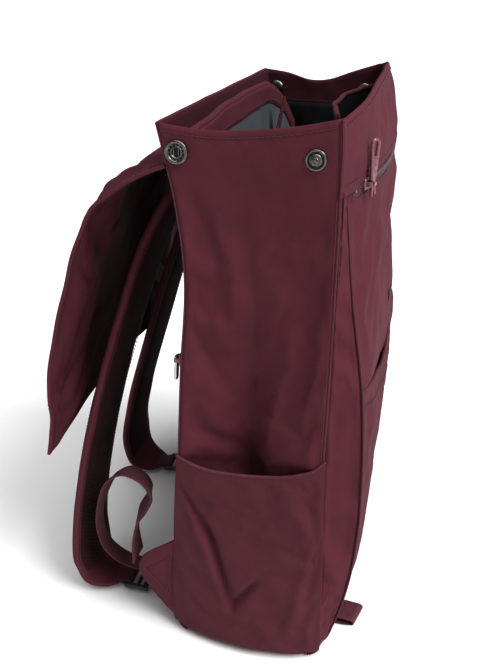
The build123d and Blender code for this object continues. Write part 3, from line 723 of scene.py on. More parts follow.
def front_walls():
    share, across = wall_shares(60, 30)
    z = 2 + share * 392
    wall = xyz(across * (HALF - 1), front_edge(z) + 1.2, z)
    Piece().cloth(wall, CLOTH, (0, -1, 0), back=1).done(
        "shell_front_wall", [SHELL, SHADED_LINING], "pack", "shell_cloth", ["front_wall"])
    grid = settled(band_grid(26, 110), 0.008, cap=1.2, seed=5)
    piece = Piece().cloth(grid, CLOTH, (0, -1, 0), back=1)
    x = np.linspace(-HALF + 4, HALF - 4, 90)
    for z in (RIM_FRONT(x) - RIM_STITCH, np.full_like(x, ZIP_Z + ZIP_STITCH)):
        piece.stitches(xyz(x, band_y(x, z) - 0.2, z), (0, -1, 0), 2)
    piece.done("front_band", [SHELL, FACING_CLOTH, THREAD], "pack", "shell_cloth", ["front_upper_band"])


def bottom():
    low, high = node_box("bottom_panel")
    y, x = (2 * share - 1 for share in shares(40, 70, 0.5))
    round_off = 1 - 0.06 * np.abs(x) ** 6 * np.abs(y) ** 6
    middle, half_y = (high[1] + low[1]) / 2, (high[1] - low[1]) / 2
    sag = 0.9 * (np.abs(x) ** 8 + np.abs(y) ** 8).clip(0, 1)
    grid = xyz(x * (HALF - 9.5) * round_off, middle + y * half_y * round_off, 0.15 + sag)
    Piece().cloth(grid, 1.8, (0, 0, -1)).done(
        "shell_bottom", BOTTOM, "pack", "bottom_cloth", ["bottom_panel"])


def ring_grid(inset, low, tops, rows):
    """The inside of all four walls as one ring, from a height up to tops(rim), round from the left side."""
    def heights(rim):
        return low + np.linspace(0, 1, rows)[:, None] * (tops(rim) - low)

    t = np.linspace(0.03, 0.97, 56)
    x = np.linspace(-HALF + 6, HALF - 6, 60)
    z = heights(RIM[-1](t))
    left = side_point(-1, np.broadcast_to(t, z.shape), z, inset)
    z = heights(RIM_FRONT(x))
    blend = ease(z, 372, 398)
    y = (front_edge(z) + 0.4) * (1 - blend) + band_y(np.broadcast_to(x, z.shape), z) * blend
    front = xyz(x, y + inset, z)
    t, x = t[::-1], x[::-1]
    z = heights(RIM[1](t))
    right = side_point(1, np.broadcast_to(t, z.shape), z, inset)
    z = heights(np.full_like(x, RIM_BACK))
    back = xyz(x, back_edge(z) - inset, z)
    return np.concatenate([left, front, right, back], axis=1)


def closed_ring(grid):
    """The grid with its first column again at its end."""
    return np.concatenate([grid, grid[:, :1]], axis=1)


def inside():
    """The hem facing round the mouth, and the lining bag that hangs from it."""
    grid = ring_grid(2.2, FACING_LOW, lambda rim: rim - 0.4, 10)
    piece = Piece().cloth(closed_ring(grid), 0.9, (0, 0, 1))
    row = ring_grid(3.4, FACING_LOW + 3, lambda rim: np.full_like(rim, FACING_LOW + 4), 2)[0]
    row = np.concatenate([row, row[:1]])
    piece.stitches(row, unit((np.array([0, -5, 0]) - row) * [1, 1, 0]), 1)
    piece.done("mouth_hem_facing", [MOUTH_SHADED_CLOTH, DARK_THREAD], "pack", "facing_cloth", ["mouth_facing"])

    grid = ring_grid(5.0, 8, lambda rim: np.full_like(rim, FACING_LOW + 1), 90)
    around = np.cumsum(np.linalg.norm(np.diff(grid[0], axis=0, prepend=grid[0][:1]), axis=1))
    heights = grid[..., 2]
    inward = unit((np.array([0, -3, 0]) - grid) * [1, 1, 0])
    loose = (ripple(around[None, :], heights, 70, 13) + 1.0) * 1.6 * ease(FACING_LOW - heights, 0, 40)
    bag_grid = closed_ring(grid + inward * loose[..., None])
    Piece().cloth(bag_grid, 0.7, (0, 0, 1)).done("lining_bag", SHADED_LINING, "pack", "lining_cloth")


def divider():
    """The padded laptop sleeve wall with its arched, bound top edge."""
    low, high = node_box("laptop_divider")
    half = high[0] + 2
    top = curve_through([(-half, 419), (-70, 425.5), (0, 428), (50, 425), (90, 411), (half, 386)])
    lean = curve_through([(8, low[1] + 3), (330, low[1] + 3), (398, 27), (431, 31)])
    reach = curve_through([(8, 0.86), (190, 0.84), (260, 0.86), (330, 0.9), (385, 0.98), (400, 1)])

    def on_wall(across, z):
        x = across * half
        out = 7 * across**2 * ease(z, 330, 430) * np.where(x < 0, 1.4, -0.4)
        y = lean(z) + out + ripple(x, z, 80, 17) * 1.3 * bulge(x, half, 4)
        return xyz(x * reach(z), y - 2.4, z)

    share, across = wall_shares(70, 60)
    front = on_wall(across, 8 + share * (top(across * half) - 8))
    piece = Piece().cloth(front, 4.2, (0, -1, 0), back=1)
    panel = piece.done("laptop_sleeve_wall", [GREY, FACING_CLOTH], "pack", "grey_lining", ["laptop_divider"])
    trim = Piece()
    trim.tube(front[-1] + [0, 2.1, 0.4], 2.5, up=(0, 1, 0))
    drop, across = np.meshgrid(np.linspace(-13, 0, 7), 2 * spaced(60) - 1, indexing="ij")
    band = on_wall(across, top(across * half) + drop) + [0, -0.9, 0]
    trim.cloth(band, 0.8, (0, -1, 0))
    trim.stitches(band[1] + [0, -0.2, 0], (0, -1, 0), 1)
    trim.done("sleeve_binding", [FACING_CLOTH, THREAD], "pack", "facing_cloth")
    tab = Piece()
    share, across = np.meshgrid(np.linspace(0, 1, 14), np.linspace(-1, 1, 7), indexing="ij")
    width = 9 * (1 - share * 0.75)
    grid = xyz(40 + across * width, 19 - 6 * share, 385 + 33 * share)
    tab.cloth(grid, 1.2, (0, -1, 0)).done("sleeve_tab", WEBBING, "pack", "facing_cloth")


def inner_pocket():
    low, high = node_box("inner_slip_pocket")
    half = high[0] + 5
    top = curve_through([(-half, 434), (0, 426), (half, 418)])
    share, across = wall_shares(50, 50)
    x = across * half
    z = low[2] + share * (top(x) - low[2])
    gape = curve_through([(low[2], 1), (300, 9), (380, 12), (434, 13)])
    y = front_edge(z) + 4.5 + gape(z) * bulge(x, half, 2.0) + ripple(x, z, 70, 19) * 0.9
    grid = xyz(x, y, z)
    Piece().cloth(grid, 1.0, (0, 1, 0)).done(
        "inner_pocket_panel", SHADED_LINING, "pack", "lining_cloth", ["inner_slip_pocket"])
    trim = Piece().tube(grid[-1] + [0, -0.5, 0], 1.7, up=(0, 1, 0))
    trim.done("inner_pocket_binding", FACING_CLOTH, "pack", "facing_cloth")


# ---- the front pouch -----------------------------------------------------------------------------------
def gussets():
    """The wedge between the side panel's front edge and the pouch's edge."""
    for name, side in SIDES.items():
        share, t = shares(110, 26)
        z = 1.5 + share * (ZIP_Z + 3 - 1.5)
        start, end = front_edge(z) - 0.6, pouch_edge(z)
        y = start + t * (end - start)
        x = HALF - 0.6 - t * (HALF - POUCH_HALF) - seam_dip(t, 24, 1.2)
        belly = np.sin(math.pi * t) * ease(z, 0, 60) * (1.5 + 1.2 * ripple(y, z, 60, 31))
        crease = fold(y, z, (-62, 92), (-80, 76), 4, -2.2) + fold(y, z, (-66, 118), (-76, 66), 5, 1.6)
        grid = settled(xyz(side * (x + belly + crease), y, z), 0.012, cap=2.5, seed=6)
        Piece().cloth(grid, CLOTH, (side, -0.5, 0)).done(
            f"pouch_gusset_{name}", SHELL, "pack", "shell_cloth", [f"front_gusset_{name}"])
    welt = Piece()
    for side in SIDES.values():
        z = np.linspace(6, ZIP_Z - 8, 90)
        welt.tube(xyz(side * POUCH_HALF, pouch_edge(z), z), WELT, up=(side, -1, 0))
    welt.done("pouch_edge_welts", BOTTOM, "pack", "shell_cloth")


def slip_top(x):
    """Height of the slip pocket's slack mouth, which hangs lowest in its middle."""
    return SLIP_TOP - 23 * (1 - (x / POUCH_HALF) ** 2)


def pouch_y(x, z):
    """y of the pouch's outer face."""
    edge, middle = pouch_edge(z), pouch_middle(z)
    y = edge + (middle - edge) * bulge(x)
    return y + seam_dip((x / POUCH_HALF + 1) / 2, 2 * POUCH_HALF, 1.0)


def pouch():
    share, across = wall_shares(120, 90)
    x = across * (POUCH_HALF - 0.3)
    z = 12 + share * (ZIP_Z - zip_gap(x) - 12)
    behind = 7.5 * (1 - ease(z, slip_top(x) - 12, slip_top(x) + 8)) * np.clip(bulge(x, power=6), 0, 1)
    y = pouch_y(x, z) + behind + ripple(x, z, 100, 37) * 1.1 * bulge(x, power=6)
    y -= fold(x, z, (-128, 300), (-70, 372), 9, 1.6) + fold(x, z, (-110, 268), (-40, 330), 10, 1.4)
    grid = settled(xyz(x, y, z), 0.010, cap=3, seed=7)
    piece = Piece().cloth(grid, CLOTH, (0, -1, 0))
    x = np.linspace(-POUCH_HALF + 6, POUCH_HALF - 6, 80)
    z = np.full_like(x, ZIP_Z - ZIP_STITCH)
    piece.stitches(xyz(x, pouch_y(x, z) - 0.3, z), (0, -1, 0), 1)
    piece.done("pouch_face", [SHELL, THREAD], "pack", "shell_cloth", ["front_zip_panel"])


def slip_pocket():
    share, across = wall_shares(100, 90)
    x = across * (POUCH_HALF - 1)
    z = 4 + share * (slip_top(x) - 4)
    gape = 1.0 * ease(z, SLIP_TOP - 70, SLIP_TOP - 20) * bulge(x)
    y = pouch_y(x, z) - gape - 0.8 * np.clip(bulge(x, power=20), 0, 1)
    y += ripple(x, z, 90, 41) * 1.0 * bulge(x, power=6) + 3 * (1 - ease(z, 0, 12))
    y -= fold(x, z, (-126, 246), (-72, 150), 8, 1.6)
    grid = settled(xyz(x, y, z), 0.010, cap=3, seed=8)
    piece = Piece().cloth(grid, CLOTH, (0, -1, 0))
    piece.stitches(grid[-9, 2:-2] + [0, -0.2, 0], (0, -1, 0), 1)
    piece.done("slip_pocket_panel", [POCKET, THREAD], "pack", "pocket_cloth", ["front_slip_pocket"])
    trim = Piece().tube(grid[-1] + [0, 0.7, 0], 1.2, up=(0, 1, 0))
    trim.done("slip_pocket_hem", FACING_CLOTH, "pack", "pocket_cloth")


def badge():
    """A blank plate with a raised frame and two rivets."""
    low, high = node_box("badge_plate")
    middle = (low + high) / 2
    width, height = high[0] - low[0], high[2] - low[2]
    face_y = float(pouch_y(middle[0], middle[2])) - 1.9
    across, up = (1, 0, 0), (0, 0, 1)

    def at(x, z, out):
        return middle[0] + x, face_y - out, middle[2] + z

    plate = Piece().slab(at(0, 0, -1.1), across, up, (width, height, 2.2), 0.12)
    for end in (-1, 1):
        plate.slab(at(0, end * (height / 2 - 1.2), 0.2), across, up, (width - 3, 0.9, 0.7), 0.4)
    for end in (-1, 1):
        plate.slab(at(end * (width / 2 - 1.2), 0, 0.2), across, up, (0.9, height - 3, 0.7), 0.4)
        rivet = [(0.01, -0.9), (0.7, -0.7), (1.0, -0.2), (1.0, 0.4), (0.01, 0.5)]
        plate.lathe(rivet, at(end * (width / 2 - 3.6), 0, 0), (0, 1, 0), sides=20)
    plate.done("blank_badge", BADGE, "pack", "badge_metal", ["badge_plate"])


TOOTH_PITCH = 0.75
BAR_OUT = 5.1  # how far a slider's bar stands out from its zip


def zip_arc():
    """The circle in plan that the front zip follows: its centre's y and its radius."""
    centre = pivot("front_zip_run")[1]
    low, _ = node_box("front_zip_coil")
    return centre, centre - low[1] - 0.6


def on_zip(angle, out=0.0, z=ZIP_Z):
    """A point on the front zip at an angle from its middle, or out in front of it."""
    centre, radius = zip_arc()
    return xyz((radius + out) * np.sin(angle), centre - (radius + out) * np.cos(angle), z)


def teeth(piece, spots, ways, outs, length=2.1):
    """Interlocked coil teeth across a zip's middle at each spot."""
    profile = ((-0.35, 0.0), (-0.15, 0.45), (0.6, 0.45), (0.95, 0))
    for k, (spot, way, out) in enumerate(zip(spots, ways, outs)):
        across = np.cross(out, way) * (1 if k % 2 else -1)
        piece.tube([spot + across * length * s + out * h for s, h in profile], 0.5, sides=6, up=out)


def front_zip():
    tape_end, coil_end, stop = (math.radians(degrees) for degrees in (14.9, 14.2, 14.5))
    angles = np.linspace(-tape_end, tape_end, 120)
    tapes = Piece()
    for low, high in ((-6.5, -1.2), (1.2, 6.5)):
        rows = [on_zip(angles, 0.2, ZIP_Z + z) for z in np.linspace(low, high, 5)]
        tapes.cloth(np.stack(rows), 0.7, (0, -1, 0))
    tapes.done("zip_tapes_front", ZIP_TAPE, "pack", "zip_tape", ["front_zip_tapes"])
    _, radius = zip_arc()
    angles = np.linspace(-coil_end, coil_end, int(2 * coil_end * radius / TOOTH_PITCH))
    spots = on_zip(angles, 0.5)
    coil = Piece()
    outs = unit(on_zip(angles, 1) - on_zip(angles, 0))
    teeth(coil, spots, unit(np.gradient(spots, axis=0)), outs)
    coil.done("zip_coil_front", COIL, "pack", "zip_coil", ["front_zip_coil"])
    stops = Piece()
    for angle in (-stop, stop):
        spot, along = on_zip(angle, 0.6), unit(on_zip(angle + 0.01) - on_zip(angle))
        stops.slab(spot, along, (0, 0, 1), (1.8, 4.6, 1.4), 0.3)
    stops.done("zip_end_stops", SLIDER, "pack", "slider_metal", ["front_zip_stops"])


def slider(name, node, bar, way, out, bar_along):
    """A zip slider on its node's own body: a waisted wing, a nose, two ears and a bar for the pull."""
    side = np.cross(out, way)
    centre = bar - out * BAR_OUT
    piece = Piece()
    piece.slab(centre + out * 1.5, way, side, (11, 7.6, 1.5), 0.34)
    piece.slab(centre + out * 1.7 + way * 3.4, way, side, (4.4, 8.8, 1.5), 0.4)
    piece.slab(centre + out * 1.7 - way * 3.8, way, side, (3.2, 6.0, 1.5), 0.4)
    bar_way = way if bar_along else side
    for s in (-1, 1):
        ear = centre + out * 3.9 + bar_way * 3.4 * s
        piece.slab(ear, bar_way, np.cross(out, bar_way), (1.3, 3.2, 4.4), 0.3)
    piece.tube(centre + out * BAR_OUT + np.linspace(-3.4, 3.4, 6)[:, None] * bar_way, 0.8, up=out)
    piece.done(name, SLIDER, node, "slider_metal", [node])


def loop_pull(name, node, centre, bar, reach, size, slot, material, tails=(), twist=0.0):
    """A moulded loop round the slider's bar, of size (length, width), with short tails below it."""
    length, width = size
    out = np.cross(bar, reach)
    turn = np.linspace(0, 2 * math.pi, 40, endpoint=False)
    run, half = length / 2 - width / 2, width / 2 - 0.9
    along = np.where(np.cos(turn) > 0, run, -run) + half * np.cos(turn)
    turned = twist * ease(along, -length / 2, length * 0.1)
    wide = bar * np.cos(turned)[:, None] + out * np.sin(turned)[:, None]
    lean = out * (np.abs(np.sin(turned)) * half)[:, None]
    middle = centre + reach * (1.2 + length / 2)
    path = middle + along[:, None] * reach + (half * np.sin(turn))[:, None] * wide + lean
    piece = Piece().tube(path, 1.15, up=out, closed=True, sides=10)
    for level in (-0.3, -0.15, 0.0):
        turned = twist * float(ease(level * length, -length / 2, length * 0.1))
        wide = bar * math.cos(turned) + out * math.sin(turned)
        spot = middle + reach * level * length + out * abs(math.sin(turned)) * half
        piece.slab(spot, wide, reach, (width - 1.4, length * 0.2, 1.3), 0.2)
    eye = np.stack([centre + bar * s for s in np.linspace(-2.0, 2.0, 5)])
    piece.tube(eye, 2.0, up=out, sides=14)
    for s in tails:
        start = centre - reach * 0.6 + bar * s * 1.5
        path = [start, start - reach * 2.5 + bar * s * 0.6, start - reach * 6.5 + bar * s * 2.0]
        piece.tube(smooth_route(path, 0.8), 1.0, up=out, sides=10)
    piece.done(name, material, node, slot, [node])


def front_zip_hardware():
    bar, way = pivot("front_zip_puller_flip"), unit(np.array(JOINTS["front_zip_puller_flip"]["axis"]))
    out = np.cross(way, [0, 0, 1])
    slider("front_slider", "front_zip_slider", bar, way, out, bar_along=True)
    lean = math.radians(4)
    reach = np.array([0, 0, 1]) * math.cos(lean) - out * math.sin(lean)
    length = node_box("front_zip_puller")[1][2] - ZIP_Z - 1.5
    loop_pull("front_pull", "front_zip_puller", bar, way, reach, (length, 6.6), "pull_plastic", PULL,
              tails=(-1, 1), twist=0.55)


def side_zip():
    low, high = node_box("side_zip_coil")
    x = (low[0] + high[0]) / 2
    tapes, coil = Piece(), Piece()
    z = np.linspace(low[2], high[2], 60)
    for near, far in ((-5.5, -1.0), (1.0, 5.5)):
        columns = [xyz(x + shift, back_edge(z) + 0.9, z) for shift in np.linspace(near, far, 5)]
        tapes.cloth(np.stack(columns), 0.7, (0, 1, 0))
    tapes.done("zip_tapes_side", ZIP_TAPE, "pack", "zip_tape", ["side_zip_tapes"])
    z = np.arange(low[2] + 1, high[2] - 1, TOOTH_PITCH)
    spots = xyz(x, back_edge(z) + 1.0, z)
    ways = unit(np.gradient(spots, axis=0))
    outs = unit(np.cross(ways, [1, 0, 0]))
    teeth(coil, spots, ways, outs * np.sign(outs[:, 1:2]))
    coil.done("zip_coil_side", COIL, "pack", "zip_coil", ["side_zip_coil"])
    bar, way = pivot("side_zip_puller_flip"), unit(np.array(JOINTS["side_zip_run"]["axis"]))
    out = np.cross([1, 0, 0], way)
    out = out * np.sign(out[1])
    slider("side_slider", "side_zip_slider", bar, way, out, bar_along=False)
    loop_pull("side_pull", "side_zip_puller", bar, np.array([1.0, 0, 0]), way * -np.sign(way[2]), (16, 4.6),
              "pull_metal", NICKEL)


# ---- sides: pockets, tabs and snaps --------------------------------------------------------------------
# The side pockets' folds, in y and z: start, end, width and height, negative where they sink in.
POCKET_FOLDS = [
    ((50, 166), (24, 104), 3.4, -4.2), ((34, 142), (6, 42), 3.8, -6.0), ((12, 46), (-14, 84), 3.2, -5.4),
    ((46, 150), (16, 56), 6, 2.0), ((4, 62), (-30, 100), 12, 1.6), ((-50, 110), (-38, 12), 7, 2.2),
    ((-58, 150), (-50, 20), 5, -1.4),
]


def side_pockets():
    top = curve_through([(0, 188.5), (0.22, 183.5), (0.5, 184), (0.83, 191), (0.93, 196), (1, 204)])
    for name, side in SIDES.items():
        share, t = shares(110, 70)
        z = 1.0 + share * (top(t) - 1.0)
        y = (back_edge(z) + 1.6) * (1 - t) + (front_edge(z) - 1.6) * t
        seam = np.clip(1 - np.abs(2 * t - 1) ** 9, 0, 1)
        belly = 1.0 + (2.2 + 6.5 * ease(120 - z, 0, 110)) * np.sin(math.pi * t) ** 0.8
        tuck = 7 * (1 - ease(z, 0, 16)) ** 2
        out = -0.6 + seam * (belly + 1.4) - tuck
        out = folds(y, z, POCKET_FOLDS, out + seam * ripple(y, z, 85, 43 if side < 0 else 47))
        grid = settled(xyz(side * (HALF + out), y, z), 0.012, cap=3, seed=9)
        piece = Piece().cloth(grid, CLOTH, (side, 0, 0), back=1)
        piece.done(f"bottle_pocket_{name}", [POCKET, SHADED_LINING], "pack", "pocket_cloth", [f"side_pocket_{name}"])
        trim = Piece().tube(grid[-1] + [-side * 0.6, 0, 0.2], 1.15, up=(side, 0, 0))
        trim.done(f"bottle_pocket_hem_{name}", BINDING, "pack", "pocket_cloth")


def corner_tabs():
    """The sewn triangles that hold the adjuster webbing, with cross stitching."""
    for name, side in SIDES.items():
        node = f"corner_tab_{name}"
        low, high = node_box(node)
        share, t = np.meshgrid(np.linspace(0, 1, 26), np.linspace(0, 1, 22), indexing="ij")
        z = low[2] + share * (high[2] - low[2])
        reach = curve_through([(low[2], 1.5), (40, 20), (62, 31), (76, 28), (high[2], 1.5)])(z)
        y = back_edge(z) - 1 + t * (reach + 1)
        x = side * (HALF - 1.4 + 1.2 * np.sin(math.pi * t) * np.sin(math.pi * share))
        piece = Piece().cloth(xyz(x, y, z), 2.4, (side, 0, 0))
        for ends in (((64, 40), (86, 66)), ((86, 62), (62, 84)), ((66, 44), (62, 80))):
            piece.stitches([(side * (HALF + 0.1), *end) for end in ends], (side, 0, 0), 1)
        piece.done(f"webbing_tab_{name}", [SHELL, THREAD], "pack", "shell_cloth", [node])


SNAP_SMALLER = 0.8  # the snaps look this much smaller in radius than the CAD's


def snap_socket(piece, face, axis, radius):
    """A ring socket: its turned rim, twelve beads, a near-black disc painted as the shade in its recess, and the
    two wires of its spring.
    """
    piece.lathe([(0.01, 0.1), (radius - 0.5, 0.1), (radius, 0.5), (radius, 1.6), (radius - 0.5, 2.3),
                 (radius - 1.4, 2.5), (radius - 2.1, 2.0), (radius - 2.5, 1.2), (4.2, 1.1), (3.7, 1.9),
                 (3.1, 2.1), (2.6, 1.7), (2.5, 0.5), (0.01, 0.4)], face, axis)
    for k in range(12):
        turn = 2 * math.pi * k / 12
        spot = face + axis * 1.3 + 4.6 * np.array([0, math.cos(turn), math.sin(turn)])
        piece.lathe([(0.01, 0), (0.55, 0), (0.5, 0.35), (0.01, 0.5)], spot, axis, sides=10)
    piece.lathe([(0.01, 1.2), (radius - 2.1, 1.2), (radius - 2.1, 1.4), (0.01, 1.4)], face, axis, 1)
    for shift in (-1.5, 1.5):
        wire = np.array([[0, shift, height] for height in (-2.4, -1, 0, 1, 2.4)])
        piece.tube(face + axis * 1.5 + wire, 0.35, up=axis)


def snap_stud(piece, face, axis, radius):
    """A stud: its flange, the waisted post and a near-black ring between them, painted shade."""
    piece.lathe([(0.01, 0.1), (radius - 0.6, 0.1), (radius, 0.4), (radius - 0.2, 1.0), (radius - 0.9, 1.3),
                 (radius - 1.5, 1.0), (3.9, 0.8), (3.5, 1.3), (2.9, 1.6), (2.0, 2.1), (1.9, 2.9), (2.5, 3.6),
                 (2.6, 4.3), (2.1, 4.9), (1.1, 5.1), (0.9, 4.4), (0.01, 4.3)], face, axis)
    piece.lathe([(0.01, 1.05), (radius - 1.3, 1.05), (radius - 1.3, 1.2), (0.01, 1.2)], face, axis, 1)


def snaps():
    """A socket at the back and a stud at the front of each side, each with a cap inside."""
    (low, high), studs = node_box("snap_sockets"), node_box("snap_studs")
    _, socket_y, z = (low + high) / 2
    stud_y = (studs[0][1] + studs[1][1]) / 2
    radius = (high[2] - low[2]) / 2 - SNAP_SMALLER
    cap_profile = [(0.01, 0.4), (6.2, 0.4), (6.5, 0.0), (5.9, -0.8), (4.0, -1.3), (0.01, -1.5)]
    socket, stud, cap = Piece(), Piece(), Piece()
    for side in SIDES.values():
        axis = np.array([side, 0, 0], float)
        snap_socket(socket, np.array([side * HALF, socket_y, z]), axis, radius)
        snap_stud(stud, np.array([side * HALF, stud_y, z]), axis, radius - 1.0)
        for y in (socket_y, stud_y):
            cap.lathe(cap_profile, np.array([side * (HALF - 3.6), y, z]), axis)
    socket.done("snap_socket_rings", [SNAP, SNAP_PAINTED_SHADE], "pack", "snap_metal", ["snap_sockets"])
    stud.done("snap_stud_posts", [SNAP, SNAP_PAINTED_SHADE], "pack", "snap_metal", ["snap_studs"])
    cap.done("snap_inner_caps", SNAP, "pack", "snap_metal", ["snap_caps"])


def ground_loop():
    """The folded webbing tab that lies on the ground at the front left corner."""
    low, high = node_box("bottom_loop")
    route = [(0, -62, 6.6), (-0.5, -72, 7.2), (-1.5, -84, 6.2), (-2, -90.5, 4.6), (-1.5, -91.0, 2.4),
             (-1.5, -84, 1.4), (-0.5, -72, 1.6), (0, -62, 2.2)]
    line = smooth_route(route, 1.2)
    middle = (low[0] + high[0]) / 2
    across = np.linspace(-0.5, 0.5, 12)
    x, y, z = (line[:, k, None] for k in range(3))
    x = middle + (y + 62) * -0.12 + x + across * WEB_WIDTH
    y = y - across * 6 * ease(-y, 66, 90)
    grid = xyz(x, np.maximum(y, low[1] - 2), z)
    Piece().cloth(grid, 1.3, (0, 0, 1)).done("ground_tab", WEBBING, "pack", "webbing_tape", ["bottom_loop"])


# ---- the back's padding --------------------------------------------------------------------------------
def back_pad():
    low, high = node_box("back_mesh_pad")
    share, x = np.meshgrid(np.linspace(0, 1, 240), np.linspace(-1, 1, 180), indexing="ij")
    z = low[2] + share * (high[2] - low[2])
    half = high[0]
    edge = np.minimum((1 - np.abs(x)) * half, np.minimum(share, 1 - share) * (high[2] - low[2]))
    swell = np.clip(edge / 16, 0, 1) ** 0.55
    grooves = sum(np.exp(-(((z - level) / 4.5) ** 2)) for level in (110, 190, 270))
    grooves = np.maximum(grooves, np.exp(-((x * half / 6) ** 2)))
    ribs = 0.35 * np.sin((x * half + z) * 2 * math.pi / 5.2) * np.clip(edge / 10, 0, 1)
    y = back_edge(z) + 0.6 + 8.5 * swell * (1 - 0.75 * grooves) + ribs * (1 - grooves)
    piece = Piece().cloth(xyz(x * half, y, z), 1.0, (0, 1, 0))
    pad = piece.done("back_cushion", MESH, "pack", "air_mesh", ["back_mesh_pad"])
    trim = Piece()
    corner = [(-half, low[2]), (half, low[2]), (half, high[2]), (-half, high[2]), (-half, low[2])]
    for (x0, z0), (x1, z1) in zip(corner, corner[1:]):
        z = np.linspace(z0, z1, 60)
        trim.tube(xyz(np.linspace(x0, x1, 60), back_edge(z) + 1.0, z), 1.6, up=(0, 1, 0))
    trim.done("back_cushion_piping", BINDING, "pack", "shell_cloth")


def yoke():
    """The padded bar that the shoulder straps are sewn into."""
    low, high = node_box("strap_yoke")
    share, x = np.meshgrid(np.linspace(0, 1, 30), np.linspace(-1, 1, 90) * high[0], indexing="ij")
    z = low[2] + share * (high[2] - low[2])
    swell = np.clip(np.minimum(share, 1 - share) * 9, 0, 1) ** 0.5
    y = back_edge(z) + 0.5 + 2.4 * swell * np.clip((1 - np.abs(x / high[0])) * 14, 0, 1) ** 0.5
    piece = Piece().cloth(xyz(x, y, z), 1.0, (0, 1, 0))
    x = np.linspace(-high[0] + 4, high[0] - 4, 60)
    for level in (low[2] + 4, high[2] - 4):
        piece.stitches(xyz(x, back_edge(level) + 3.0, level), (0, 1, 0), 1)
    piece.done("strap_yoke_panel", [SHELL, THREAD], "pack", "shell_cloth", ["strap_yoke"])


# ---- the flap ------------------------------------------------------------------------------------------
# The flap's line from its seam over the straps to its hem, at its side edges and in its middle.
FLAP_EDGE = [
    (49.5, 404), (56, 401.5), (63, 398.5), (72, 394), (82, 388), (91, 381), (99.5, 374), (107, 360),
    (115, 344), (124, 322), (133, 300), (141, 278), (147.5, 253), (153, 226), (152.5, 206),
    (156, 188), (159, 170),
]
FLAP_MIDDLE = [
    (49.5, 405.5), (57, 404), (66, 401.8), (77, 398.8), (88, 393), (99, 383), (108, 369), (115, 347),
    (122, 323), (130, 300), (138, 279), (144, 256), (149, 234), (152.5, 214), (155.5, 198), (158, 184),
]
FLAP_THICK = 1.7

# The flap's folds, at x across and s mm down from the seam: start, end, width and height, negative where they
# sink in. The first list is mirrored to the other side, a little flatter.
FLAP_SIDE_FOLDS = [
    ((138, 62), (70, 150), 9, 5.0), ((120, 60), (50, 120), 11, -3.4), ((92, 120), (128, 262), 8, 4.2),
    ((112, 110), (143, 226), 7, -4.0), ((110, 8), (126, 108), 4, 7.5), ((66, 178), (138, 250), 4, 8.0),
    ((60, 208), (138, 272), 5, -4.0),
]
FLAP_MIDDLE_FOLDS = [((-30, 80), (-20, 230), 16, 2.2), ((20, 90), (30, 250), 18, -2.2)]


def flap_surface(u, v):
    """Points of the flap's upper face for u from -1 to 1 across it and v from 0 to 1 down it."""
    lines = []
    for points in (FLAP_EDGE, FLAP_MIDDLE):
        route = smooth_route([(0, y, z) for y, z in points], 0.5)
        share = np.linspace(0, 1, len(route))
        lines.append([np.interp(v, share, route[:, k]) for k in (1, 2)])
    side = np.abs(u) ** 3.6
    y, z = (lines[1][k] * (1 - side) + lines[0][k] * side for k in (0, 1))
    return xyz(u * FLAP_HALF, y, z)


def flap_rise(x, s):
    """How far the cloth stands off the smooth flap, at x across and s mm down from the seam."""
    rise = ripple(x, s, 95, 53) * 1.6 * ease(s, 30, 90)
    for side, tall in ((-1, 1.0), (1, 0.85)):
        rise = folds(side * x, s, FLAP_SIDE_FOLDS, rise, tall)
    return rise + folds(x, s, FLAP_MIDDLE_FOLDS)


def flap_normal(grid):
    """The way out of the flap's upper face at each point."""
    normal = unit(np.cross(np.gradient(grid, axis=1), np.gradient(grid, axis=0)))
    return normal * np.sign(normal[60, 48, 1])


def flap_grid():
    """The flap's upper face from its seam down to its hem, with its folds."""
    v, u = np.meshgrid(np.linspace(0, 1, 170), 2 * spaced(96, 0.35) - 1, indexing="ij")
    grid = flap_surface(u, v)
    down = np.cumsum(np.linalg.norm(np.diff(grid, axis=0, prepend=grid[:1]), axis=2), axis=0)
    grid = grid + flap_normal(grid) * flap_rise(grid[..., 0], down)[..., None]
    held = np.zeros(grid.shape[:2])
    held[:14] = held[-3:] = held[:, :3] = held[:, -3:] = 1
    held[14:-3, 24:72] = 0.35
    return settled(grid, 0.012, held=held, gravity=0.2, cap=4, seed=10)


def flap():
    """The flap in three strips that share their edges, cut halfway between its fold lines."""
    grid = flap_grid()
    normal = flap_normal(grid)
    lift, top, drop = (pivot(name) for name in ("flap_lift", "flap_top_fold", "flap_drop_fold"))
    root_way, top_way = unit(top - lift), unit(drop - top)
    cuts = [0]
    for start, end in ((lift, top), (top, drop)):
        past_middle = ((grid - (start + end) / 2) @ unit(end - start)).mean(1) > 0
        cuts.append(int(np.argmax(past_middle)))
    cuts.append(len(grid) - 1)
    pads = ["strap_pad_left", "strap_pad_right"]
    strips = [
        ("flap_seam_strip", ("pack", "flap_root"), lift, root_way, (1.5, 11), ["shell_back"]),
        ("flap_upper", ("flap_root", "flap_top"), top, unit(root_way + top_way), (10, 60), pads),
        ("flap_lower", ("flap_top", "flap_drop"), drop, top_way, (26, 26), pads),
    ]
    made = []
    for (name, bodies, joint, way, (before, after), rests), first, last in zip(strips, cuts, cuts[1:]):
        part = grid[first:last + 1]
        piece = flap_strip(part, normal[first:last + 1], hem=name == "flap_lower")
        bend = (*bodies, joint - way * before, joint + way * after)
        nodes = [f"{bodies[1]}_shell", f"{bodies[1]}_lining"]
        # The strips' lower faces get the shell cloth's darker copy, painted shade.
        obj = piece.done(name, [SHELL, SHADED_UNDERSIDE, THREAD], bend, "shell_cloth", nodes, angle=75)
        length = float(np.linalg.norm(np.diff(part, axis=0), axis=2).sum(0).mean())
        made.append((obj, (2 * FLAP_HALF * MM, length * MM), rests))
    return made


